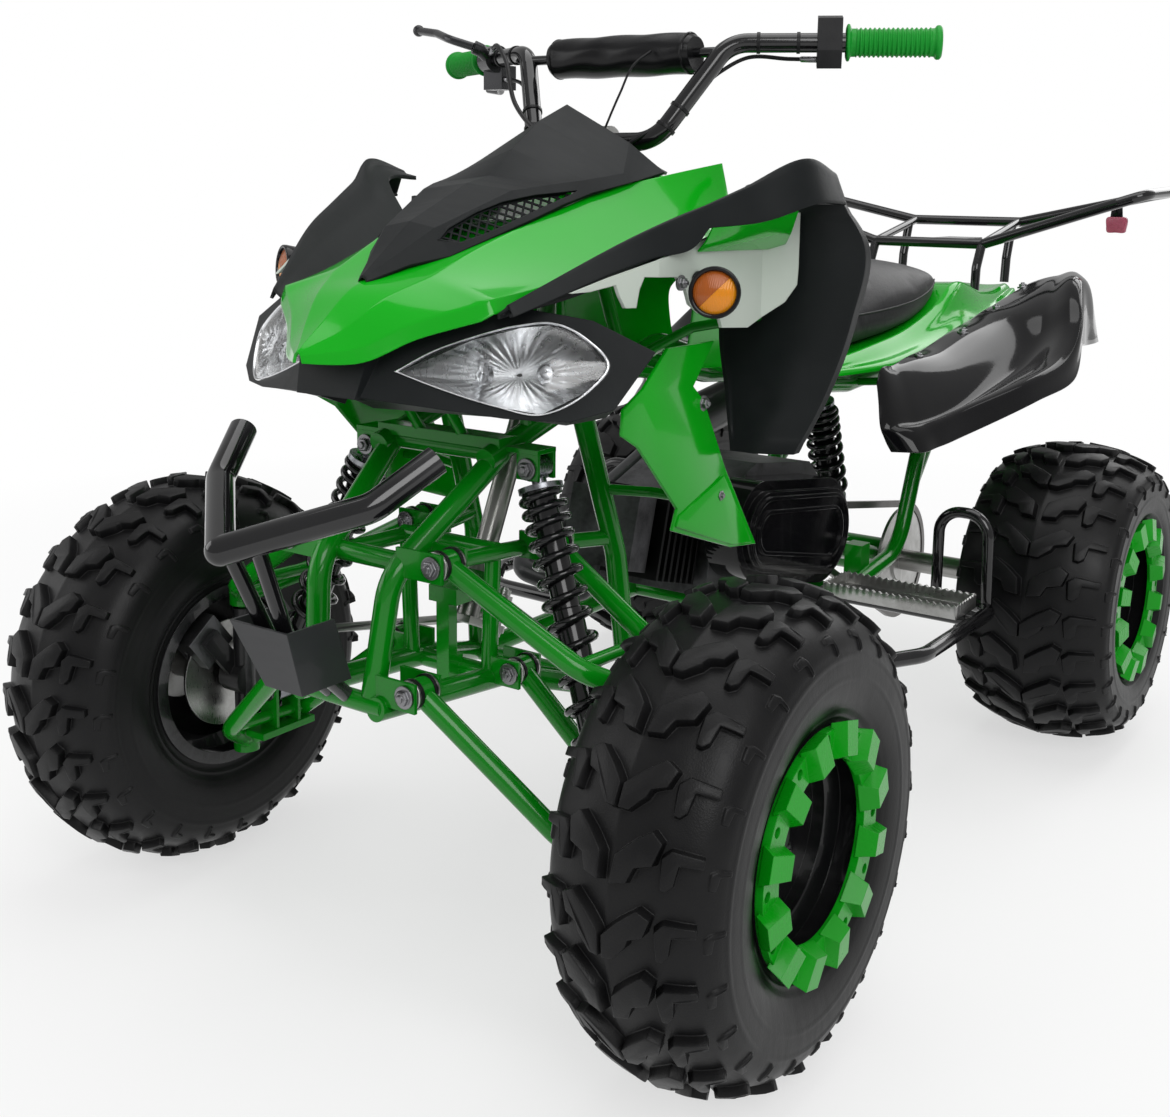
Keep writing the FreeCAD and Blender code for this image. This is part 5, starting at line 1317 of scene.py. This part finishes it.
@dataclass
class Headlamps:
    """Both headlamps: a domed clear lens with a bright rim over a fluted bowl, in the lamp's own plane."""

    corner: Point = (62.0, -650.0, 659.0)
    outer: Point = (242.0, -545.0, 666.0)
    lean: float = 25.0
    middle: Pair = (120.0, 0.0)
    bulbs: Sequence[float] = (86.0, 146.0)
    deep: float = 33.0
    flutes: int = 30
    flute: float = 0.0006
    sides: int = 96
    bulb: Outline = ((0.0, 0.010), (0.006, 0.010), (0.008, 0.0055), (0.016, 0.0062), (0.022, 0.0045),
                     (0.0255, 0.001))
    outline: Outline = ((0, 0), (35, 20), (70, 33), (120, 46), (150, 48), (186, 30), (208, 3),
                        (190, -22), (146, -45), (100, -36), (45, -18))

    def axes(self) -> Tuple[Array, Array, Array, Array]:
        """The lamp's plane.

        Returns:
            Its corner and its three directions: along the lens, up it, and out of it.
        """
        origin, lean = metres(self.corner), math.radians(self.lean)
        run = unit(metres(self.outer) - origin)
        inward = unit(np.cross((0.0, 0.0, 1.0), run))
        rise = np.array([0.0, 0.0, 1.0]) * math.cos(lean) + inward * math.sin(lean)
        return origin, run, rise, unit(np.cross(run, rise))

    def disc(self, shrink: Sequence[float], push: Sequence[float], steps: int) -> Array:
        """Rings of the lens's outline drawn towards its middle, each pushed out by its own way.

        Args:
            shrink: one size for each ring, 1 at the outline.
            push: one way out of the plane for each ring, in millimetres.
            steps: points round a ring.

        Returns:
            The grid, ring by point.
        """
        ring = along([*self.outline, self.outline[0]], steps + 1)[:-1]
        middle = np.asarray(self.middle)
        flat = (middle + (ring - middle)[None] * np.asarray(shrink)[:, None, None]) / 1000.0
        origin, run, rise, out = self.axes()
        deep = (np.asarray(push) / 1000.0)[:, None, None]
        return origin + flat[..., :1] * run + flat[..., 1:] * rise + deep * out

    def build(self) -> None:
        """Makes the lenses, their rims, the bowls and the bulbs."""
        origin, run, _, out = self.axes()
        t = np.linspace(1.0, 0.02, 22)
        lens = Piece("lamp_lenses", "chassis", "lamp_clear", replaces=("headlamps",), corner=60.0)
        lens.grid(self.disc(t * 0.985, 3.0 + 9.0 * (1 - t ** 2.4), self.sides), Wrap.ROUND)
        t = t[::-1]
        lens.grid(self.disc(t * 0.965, 0.6 + 9.0 * (1 - t ** 2.4), self.sides), Wrap.ROUND).both().make()
        rim = Piece("lamp_rims", "chassis", "lamp_clear", finish="reflector", corner=50.0)
        edge = self.disc((1.0, 1.012, 1.012, 0.985, 0.965, 0.965), (-2, 1.5, 4.5, 5.5, 3.0, -2.0), self.sides)
        rim.grid(edge, Wrap.ROUND).both().make(bevel=0.0005)
        bowl = Piece("lamp_bowls", "chassis", "lamp_clear", finish="bowl", corner=50.0)
        steps = np.linspace(0.97, 0.03, 16)
        flute = self.flute * np.cos(np.arange(120) / 120 * 2 * math.pi * self.flutes)[None, :, None]
        flute = flute * np.sin(math.pi * steps)[:, None, None]
        bowl.grid(self.disc(steps, -34.0 + self.deep * steps ** 1.5, 120) + flute * out, Wrap.ROUND)
        bowl.both().make(wall=0.0012)
        bulb = Piece("lamp_bulbs", "chassis", "lamp_clear", finish="reflector")
        for place in self.bulbs:
            bulb.spin(self.bulb, origin + run * place / 1000.0 - out * 0.034, out, 24)
        bulb.both().make()


@dataclass
class Signals:
    """Round turn signals on stalks, each lens amber with its upper half in a darker amber of painted shade,
    and the rear reflectors.
    """

    centre: Point = (300.0, -450.0, 738.0)
    axis: Point = (0.45, -0.88, 0.10)
    root: Point = (248.3, -398.0, 742.0)
    lens: float = 0.0213
    low: Point = (262, 984, 762)
    high: Point = (296, 993, 790)
    shell: Outline = ((-0.019, 0.004), (-0.019, 0.013), (-0.0165, 0.020), (-0.009, 0.0245), (0.004, 0.0258),
                      (0.0075, 0.0256), (0.0085, 0.0245), (0.0080, 0.0218), (0.0040, 0.0212), (0.0030, 0.004))
    flange: Outline = ((0.0, 0.002), (0.0, 0.0128), (0.003, 0.0128), (0.0045, 0.008))
    rounded: Outline = ((0.0, 0.25), (0.04, 0.96), (0.5, 1.0), (0.96, 0.96), (1.0, 0.25), (0.96, 0.04),
                        (0.5, 0.0), (0.04, 0.04), (0.0, 0.25))

    def housings(self) -> None:
        """Makes the housings on their bent stalks."""
        centre, root, axis = metres(self.centre), metres(self.root), unit(np.array(self.axis))
        shell = Piece("signal_housings", "chassis", "matte_black", finish="gloss_black",
                      replaces=("signal_lamps",))
        shell.spin(self.shell, centre, axis, 56)
        path = along([root, root + (0.012, -0.002, 0.0), centre - axis * 0.026 + (0.0, 0.006, 0.0),
                      centre - axis * 0.014], 24)
        shell.tube(path, 0.0068, 16).spin(self.flange, root, ACROSS, 32).both().make(bevel=0.0006)

    def lenses(self) -> None:
        """Makes both halves of each lens: out = base + crown (1 - reach squared) over half a disc."""
        centre, axis = metres(self.centre), unit(np.array(self.axis))
        u = unit(np.cross(axis, (0.0, 0.0, 1.0)))
        v = np.cross(u, axis)
        reach = np.linspace(0.0, 1.0, 14)[:, None]
        rise = 0.0040 + 0.0062 * (1 - reach ** 2)
        # The upper half gets a darker copy of the same amber: painted shade on the lens, not a second colour.
        for name, finish, start in (("bright", "amber_lens", 0.75), ("dark", "amber_painted_shade", -0.25)):
            angle = np.linspace(start * math.pi, (start + 1.0) * math.pi, 40)[None, :]
            lens = Piece("signal_lens_" + name, "chassis", "amber_lens", finish=finish, corner=60.0)
            lens.grid(centre + (rise + 0 * angle)[..., None] * axis
                      + (self.lens * reach * np.cos(angle))[..., None] * u
                      + (self.lens * reach * np.sin(angle))[..., None] * v)
            lens.both().make(wall=0.0016, inside=(0.28, -0.4, 0.72))

    def build(self) -> None:
        """Makes the front signals, and the rear reflectors with their tabs."""
        self.housings()
        self.lenses()
        low, high = metres((self.low, self.high))
        outline = along(self.rounded, 49)[:-1]
        ring = np.stack([low[0] + (high - low)[0] * outline[:, 0], np.full(len(outline), low[1]),
                         low[2] + (high - low)[2] * outline[:, 1]], axis=-1)
        tail = Piece("rear_reflectors", "chassis", "amber_lens", finish="red_lens")
        tail.prism(ring, (0.0, 0.009, 0.0)).both().make(bevel=0.0014)
        tab = Piece("reflector_tabs", "chassis", "matte_black", finish="gloss_black")
        flat = metres([(266, 986.5, 764), (292, 986.5, 764), (287, 986.5, 822), (271, 986.5, 822)])
        tab.prism(flat, (0.0, -0.002, 0.0)).both().make(bevel=0.0006)


# Suspension, controls and fasteners

@dataclass
class Springs:
    """The coil springs: wound close at the top and opening downwards round a dark damper sleeve."""

    front: Tuple[Point, Point] = ((115, -494, 548), (238, -535, 240))
    rear: Tuple[Point, Point] = ((0, 392, 520), (0, 470, 300))
    front_coil: Point = (0.0220, 0.0042, 11.5)
    rear_coil: Point = (0.0245, 0.0048, 8.5)
    seats: Pair = (0.026, 0.040)

    def coil(self, top: Point, foot: Point, radius: float, wire: float, turns: float) -> Array:
        """A helix whose pitch grows: along = low + way (0.55 t + 0.45 t squared), angle = 2 pi turns t.

        Args:
            top: the damper's upper eye, drawn in millimetres.
            foot: its lower eye.
            radius: from the axis to the wire's middle, in metres.
            wire: half the wire's thickness.
            turns: how many turns.

        Returns:
            The wire's surface as a grid.
        """
        top, foot = metres(top), metres(foot)
        axis = unit(foot - top)
        t = np.linspace(0.0, 1.0, int(turns * 30))
        low, high = self.seats[0] + wire, np.linalg.norm(foot - top) - self.seats[1] - wire
        grow = 0.55 * t + 0.45 * t ** 2
        u = unit(np.cross(axis, (0.0, 1.0, 0.3)))
        angle = 2 * math.pi * turns * t
        out = np.cos(angle)[:, None] * u + np.sin(angle)[:, None] * np.cross(axis, u)
        path = top + (low + (high - low) * grow)[:, None] * axis + radius * out
        side = unit(np.cross(unit(np.gradient(path, axis=0)), out))
        return rings(path, wire, out, side, 12)

    def build(self) -> None:
        """Makes the coils and the sleeves inside them."""
        coils = Piece("coil_springs", "chassis", "black_spring", replaces=("springs",), corner=60.0)
        coils.grid(self.coil(*self.front, *self.front_coil), Wrap.ROUND, True).both()
        coils.grid(self.coil(*self.rear, *self.rear_coil), Wrap.ROUND, True).make()
        sleeves = Piece("damper_sleeves", "chassis", "damper_steel", finish="black_spring", corner=40.0)
        for top, foot, radius in ((*self.front, 0.0145), (*self.rear, 0.0168)):
            start, end = metres(top), metres(foot)
            length = np.linalg.norm(end - start)
            sleeves.spin([(0.024, 0.009), (0.024, 0.0215), (0.031, 0.0215), (0.033, radius),
                          (0.45 * length, radius), (0.452 * length, radius + 0.0012),
                          (length - 0.043, radius + 0.0012), (length - 0.041, 0.0220),
                          (length - 0.034, 0.0220), (length - 0.034, 0.009)], start, unit(end - start), 40)
            if start[0] > 0.01:
                sleeves.both()
        sleeves.make(bevel=0.0006)


@dataclass
class LegPanels:
    """The painted leg shields, bevelled and with a pressed step, and the returns under the flares."""

    outline: Outline = (
        (-403, 673), (-449, 635), (-485, 618), (-487, 591), (-457, 575), (-378, 496), (-388, 474),
        (-259, 430), (-199, 422), (-276, 525), (-327, 609), (-350, 627), (-308, 673))
    step: Outline = ((-384, 478), (-262, 434), (-214, 427), (-284, 519), (-300, 513), (-378, 489))
    rows: Sequence[Tuple[float, float, float, float, float]] = (
        (-402, 267.7, 799.3, 248.3, 774), (-360, 292, 803, 248.3, 773), (-310, 316, 816, 248.3, 771))

    def build(self) -> None:
        """Makes the shields and the returns."""
        shield = Piece("leg_shields", "chassis", "green_plastic", replaces=("side_panels",), corner=24.0)
        for outline, x, thick in ((self.outline, 214.0, 0.0046), (self.step, 218.2, 0.0034)):
            shield.prism(metres([(x, y, z) for y, z in outline]), (thick, 0.0, 0.0))
        table = [[(x, y, z - 0.4), ((x + fx) / 2 + 2, 1.5 * y + 201, (z + fz) / 2 - 3),
                  (fx + 3, 2 * y + 402, fz)] for y, x, z, fx, fz in self.rows]
        returns = Piece("flare_returns", "chassis", "green_plastic", corner=40.0)
        returns.grid(sheet(metres(table), 40, 12)).both().make(wall=0.002, inside=(0.1, -0.3, 0.9))
        shield.both().make(bevel=0.0016)


@dataclass
class FootPegs:
    """The plated pegs: a channel whose rim is cut into teeth, over a plain floor."""

    low: Point = (138.0, 152.0, 263.4)
    high: Point = (336.0, 226.0, 281.0)
    wall: float = 3.0
    tooth: float = 3.4
    pitch: float = 10.0

    def build(self) -> None:
        """Makes both pegs: rim height = top + tooth times a sawtooth along the edge."""
        (x0, y0, z0), (x1, y1, z1) = self.low, self.high
        corners = np.array([(x0, y0), (x1, y0), (x1, y1), (x0, y1), (x0, y0)], dtype=float)
        length = reached(corners)
        at = np.linspace(0, length[-1], 436, endpoint=False)
        line = np.stack([np.interp(at, length, corners[:, 0]), np.interp(at, length, corners[:, 1])], axis=-1)
        middle = np.array([(x0 + x1) / 2, (y0 + y1) / 2])
        shrink = np.array([1 - 2 * self.wall / (x1 - x0), 1 - 2 * self.wall / (y1 - y0)])
        inner = middle + (line - middle) * shrink
        tooth = z1 + self.tooth * (1 - abs((at / self.pitch) % 1.0 - 0.5) * 2)
        edges = [np.column_stack([line, np.full(len(at), z0)]), np.column_stack([line, tooth]),
                 np.column_stack([inner, tooth]), np.column_stack([inner, np.full(len(at), z0 + self.wall)])]
        piece = Piece("toothed_pegs", "chassis", "zinc_steel", replaces=("foot_pegs",), corner=30.0)
        piece.grid(metres(edges), Wrap.RING)
        floor = [(x0 + 1, y0 + 1, z0), (x1 - 1, y0 + 1, z0), (x1 - 1, y1 - 1, z0), (x0 + 1, y1 - 1, z0)]
        tongue = [(120, 160, z0), (140, 160, z0), (140, 218, z0), (120, 218, z0)]
        piece.prism(metres(floor), (0.0, 0.0, 0.003)).prism(metres(tongue), (0.0, 0.0, 0.0035))
        piece.both().make(bevel=0.0004)


@dataclass
class Cables:
    """The control cables: smooth tubes along the bar that end in the cowl, with their sleeves and ties."""

    routes: Sequence[Tuple[float, Sequence[Point]]] = (
        (2.9, ((-226, -150, 1010), (-196, -176, 1016), (-160, -202, 994), (-118, -236, 938), (-70, -256, 902),
               (-30, -262, 872), (-16, -264, 846))),
        (2.6, ((-230, -118, 978), (-196, -140, 974), (-150, -176, 962), (-104, -214, 918), (-64, -244, 890),
               (-34, -256, 862), (-24, -258, 842))),
        (2.4, ((232, -118, 986), (204, -128, 987), (160, -152, 988), (136, -170, 972), (104, -208, 926),
               (72, -246, 894), (34, -258, 868), (20, -262, 844))),
        (1.4, ((62, -206, 996), (52, -226, 980), (46, -246, 946), (34, -258, 906), (22, -264, 870),
               (14, -266, 846))),
    )
    bar: Sequence[Point] = ((88, -234, 890), (148, -172, 1004), (358, -62, 1004))
    shares: Pair = (0.1428, 0.336)

    def build(self) -> None:
        """Makes the cables, their end sleeves and the ties round the bar."""
        cables = Piece("control_cables", "steering", "black_foam", finish="cable", corner=60.0)
        ends = Piece("cable_ends", "steering", "zinc_steel", finish="bolt", corner=40.0)
        for radius, route in self.routes:
            path, half = along(metres(route), 90), radius / 1000.0
            cables.tube(path, half, 10)
            if radius > 2:
                ends.spin([(-0.002, 0.0020), (-0.002, half + 0.0012), (0.016, half + 0.0012), (0.018, half)],
                          path[0], unit(path[1] - path[0]), 20)
        cables.make()
        ends.make(bevel=0.0003)
        ties = Piece("cable_ties", "steering", "black_foam", finish="cable", corner=40.0)
        foot, bend, end = metres(self.bar)
        for share in self.shares:
            for a, b in ((foot, bend), (bend, end)):
                ties.spin([(-0.002, 0.0112), (-0.002, 0.0124), (0.002, 0.0124), (0.002, 0.0112)],
                          a + (b - a) * share, unit(b - a), 32, caps=False)
        ties.both().make()


@dataclass
class Fasteners:
    """Bolts, nuts and washers, each a hexagon on its washer, seated where the pieces are joined."""

    chassis: Sequence[Tuple[Point, Point, float]] = (
        ((217.4, -291, 497), (1, 0, 0), 6.0), ((217.4, -328, 606), (1, 0, 0), 6.0),
        ((115, -511, 548), (0, -1, 0), 8.0), ((238, -555, 240), (0, -1, 0), 7.0),
        ((90, -673, 342), (0, -1, 0), 8.0), ((90, -508, 320), (0, -1, 0), 8.0),
        ((100, -644, 468), (0, -1, 0), 8.0), ((100, -462, 452), (0, -1, 0), 8.0),
        ((187, 340, 590.5), (0.3, 0, 1), 6.5), ((187, 515, 614.5), (0.1, 0, 1), 6.5),
        ((187, 659, 641.5), (0.0, 0, 1), 6.5), ((188, 780, 671.5), (-0.1, 0, 1), 6.5),
        ((248.6, -430, 744), (1, 0, 0), 5.5),
    )
    bush: Outline = ((-0.002, 0.006), (-0.002, 0.0150), (0.0011, 0.0150), (0.0013, 0.006))
    collar: Outline = ((-0.006, 0.0141), (-0.006, 0.0156), (-0.0022, 0.0156), (-0.0022, 0.0141))
    pivots: Sequence[Point] = ((90, -651, 342), (90, -486, 320), (100, -622, 468), (100, -440, 452))
    bush_gap: float = 14.0
    nut_circle: float = 0.036
    nut_face: float = 0.0292
    nut_size: float = 8.5

    def head(self, piece: Piece, place: Array, axis: Sequence[float], size: float) -> None:
        """Adds a washer and a hexagon with a domed top.

        Args:
            piece: the piece that gathers them.
            place: where the washer lies, in metres.
            axis: the way the head points.
            size: half the hexagon's width over its corners, in millimetres.
        """
        r = size / 1000.0
        washer = ((-0.0015, 0.001), (-0.0015, r * 1.45), (0.0012, r * 1.45), (0.0014, r * 0.8))
        nut = ((0.001, r * 0.6), (0.001, r), (0.0052, r), (0.0060, r * 0.82))
        stub = ((0.005, r * 0.5), (0.0078, r * 0.5), (0.0084, r * 0.4))
        piece.spin(washer, place, axis, 28).spin(nut, place, axis, 6).spin(stub, place, axis, 16)

    def build(self) -> None:
        """Makes the chassis bolts, the pivot washers and each wheel's nuts."""
        bolts = Piece("chassis_bolts", "chassis", "zinc_steel", finish="bolt", corner=28.0)
        for place, axis, size in self.chassis:
            self.head(bolts, metres(place), axis, size)
        bolts.both().make()
        bushes = Piece("pivot_bushes", "chassis", "zinc_steel", corner=30.0)
        rubber = Piece("pivot_rubbers", "chassis", "black_foam", finish="cable", corner=30.0)
        for x, y, z in self.pivots:
            for way in (-1.0, 1.0):
                place, axis = metres((x, y + way * self.bush_gap, z)), (0.0, way, 0.0)
                bushes.spin(self.bush, place, axis, 36)
                rubber.spin(self.collar, place, axis, 36, caps=False)
        bushes.both().make(bevel=0.0004)
        rubber.both().make()
        for body, way, (x, y, z) in (
                ("left_front_wheel", 1.0, FRONT_HUB), ("right_front_wheel", -1.0, FRONT_HUB),
                ("rear_axle_set", 1.0, REAR_HUB), ("rear_axle_set", -1.0, REAR_HUB)):
            name = "wheel_nuts_" + body + ("_l" if way > 0 else "_r")
            nuts = Piece(name, body, "zinc_steel", finish="bolt", corner=28.0)
            for step in range(4):
                angle = (step + 0.5) * math.pi / 2
                place = np.array([way * (x + self.nut_face), y + self.nut_circle * math.cos(angle),
                                  z + self.nut_circle * math.sin(angle)])
                self.head(nuts, place, (way, 0.0, 0.0), self.nut_size)
            nuts.make()


class Dresser:
    """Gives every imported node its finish."""

    @staticmethod
    def dress() -> None:
        """Assigns each node's material by its slot in the record."""
        Finish.prepare()
        Finish.ready = {slot: spec.build() for slot, spec in FINISHES.items()}
        for part in frame["record"]["subparts"]:
            for place in frame["nodes"][part["node"]].material_slots:
                place.material = Finish.ready[part["material_slot"]]
        LOG.info("dressed %d nodes", len(frame["nodes"]))


@dataclass
class Studio:
    """Camera, pale floor and soft lamps.

    The camera's place, turn and shift were fitted to the photograph's wheels and handlebar.
    """

    place: Point = (1.0176, -1.7616, 0.8461)
    yaw: float = 35.65
    pitch: float = -9.33
    roll: float = 0.6
    lens: float = 44.5
    shift: Pair = (0.0053, -0.1211)
    floor: float = 12.0
    target: Point = (0.0, 0.0, 0.5)
    lamps: Sequence[Tuple[str, Point, float, float]] = (
        ("key", (2.6, -2.6, 2.9), 2.2, 70.0), ("fill", (-3.2, -2.2, 1.9), 2.4, 34.0),
        ("back", (0.6, 3.2, 2.6), 2.2, 40.0), ("top", (0.0, 0.0, 3.4), 2.6, 40.0))

    def camera(self) -> None:
        """Places the camera: turned by yaw about the upright, then tipped by pitch."""
        data = bpy.data.cameras.new("camera")
        data.lens = self.lens
        data.sensor_width = 36.0
        data.shift_x, data.shift_y = self.shift
        data.clip_start, data.clip_end = 0.05, 60.0
        item = bpy.data.objects.new("camera", data)
        bpy.context.scene.collection.objects.link(item)
        turn = Matrix.Identity(4)
        for degrees, axis in ((self.yaw, "Z"), (90 + self.pitch, "X"), (self.roll, "Z")):
            turn = turn @ Matrix.Rotation(math.radians(degrees), 4, axis)
        item.matrix_world = Matrix.Translation(self.place) @ turn
        bpy.context.scene.camera = item

    def ground(self) -> None:
        """Lays the floor, which the camera and mirrors see as white away from the bike's shadow."""
        mesh = bpy.data.meshes.new("floor")
        corners = [(x * self.floor, y * self.floor, 0) for x, y in ((-1, -1), (1, -1), (1, 1), (-1, 1))]
        mesh.from_pydata(corners, [], [(0, 1, 2, 3)])
        floor = bpy.data.objects.new("floor", mesh)
        bpy.context.scene.collection.objects.link(floor)
        finish = Finish("pale floor")
        finish.set(Base_Color=(0.86, 0.86, 0.86, 1.0), Roughness=0.6, Specular_IOR_Level=0.2)
        light = finish.add("Emission", {"Color": WHITE, "Strength": 1.0})
        path = finish.add("LightPath")
        reach = finish.add("VectorMath", {0: finish.place}, operation="LENGTH")
        fade = finish.add("MapRange", {0: reach.outputs["Value"], 1: 0.7, 2: 2.6, 3: 0.62, 4: 1.0})
        seen = finish.add("Math", {0: path.outputs["Is Camera Ray"], 1: path.outputs["Is Glossy Ray"]},
                          operation="MAXIMUM")
        far = finish.add("Math", {0: seen.outputs[0], 1: fade.outputs[0]}, operation="MULTIPLY")
        mix = finish.add("MixShader", {0: far.outputs[0], 1: finish.shader.outputs[0], 2: light.outputs[0]})
        finish.tree.links.new(mix.outputs[0], finish.output.inputs["Surface"])
        mesh.materials.append(finish.material)

    @staticmethod
    def sky() -> None:
        """Lights the world evenly, white to the camera and through the lenses."""
        world = bpy.data.worlds.new("studio")
        bpy.context.scene.world = world
        world.use_nodes = True
        world.node_tree.nodes.clear()
        add = adder(world.node_tree)
        plain = add("Background", {"Color": WHITE, "Strength": 0.45})
        white = add("Background", {"Color": WHITE, "Strength": 1.0})
        path = add("LightPath")
        seen = add("Math", {0: path.outputs["Is Camera Ray"], 1: path.outputs["Is Transmission Ray"]},
                   operation="MAXIMUM")
        mix = add("MixShader", {0: seen.outputs[0], 1: plain.outputs[0], 2: white.outputs[0]})
        add("OutputWorld", {"Surface": mix.outputs[0]})

    def build(self) -> None:
        """Sets up the camera, the floor, the sky and the square soft lamps that look at the bike."""
        self.camera()
        self.ground()
        self.sky()
        for name, place, size, power in self.lamps:
            data = bpy.data.lights.new(name, "AREA")
            data.shape = "SQUARE"
            data.size = size
            data.energy = power
            item = bpy.data.objects.new(name, data)
            item.location = place
            item.rotation_mode = "QUATERNION"
            item.rotation_quaternion = (Vector(self.target) - Vector(place)).to_track_quat("-Z", "Y")
            bpy.context.scene.collection.objects.link(item)


def main() -> None:
    """Builds the studio and every dressed piece."""
    logging.basicConfig(level=logging.INFO, format="%(name)s %(message)s")
    bpy.context.scene.view_settings.view_transform = "Standard"
    Studio().build()
    Dresser.dress()
    for group in (Tyres, Fairing, Flares, SplashPanels, RearFenders, TailBody, TankCover, Seat, BarPad, Grips,
                  Headlamps, Signals, Springs, LegPanels, FootPegs, Cables, Fasteners):
        group().build()


if __name__ == "__main__":
    main()
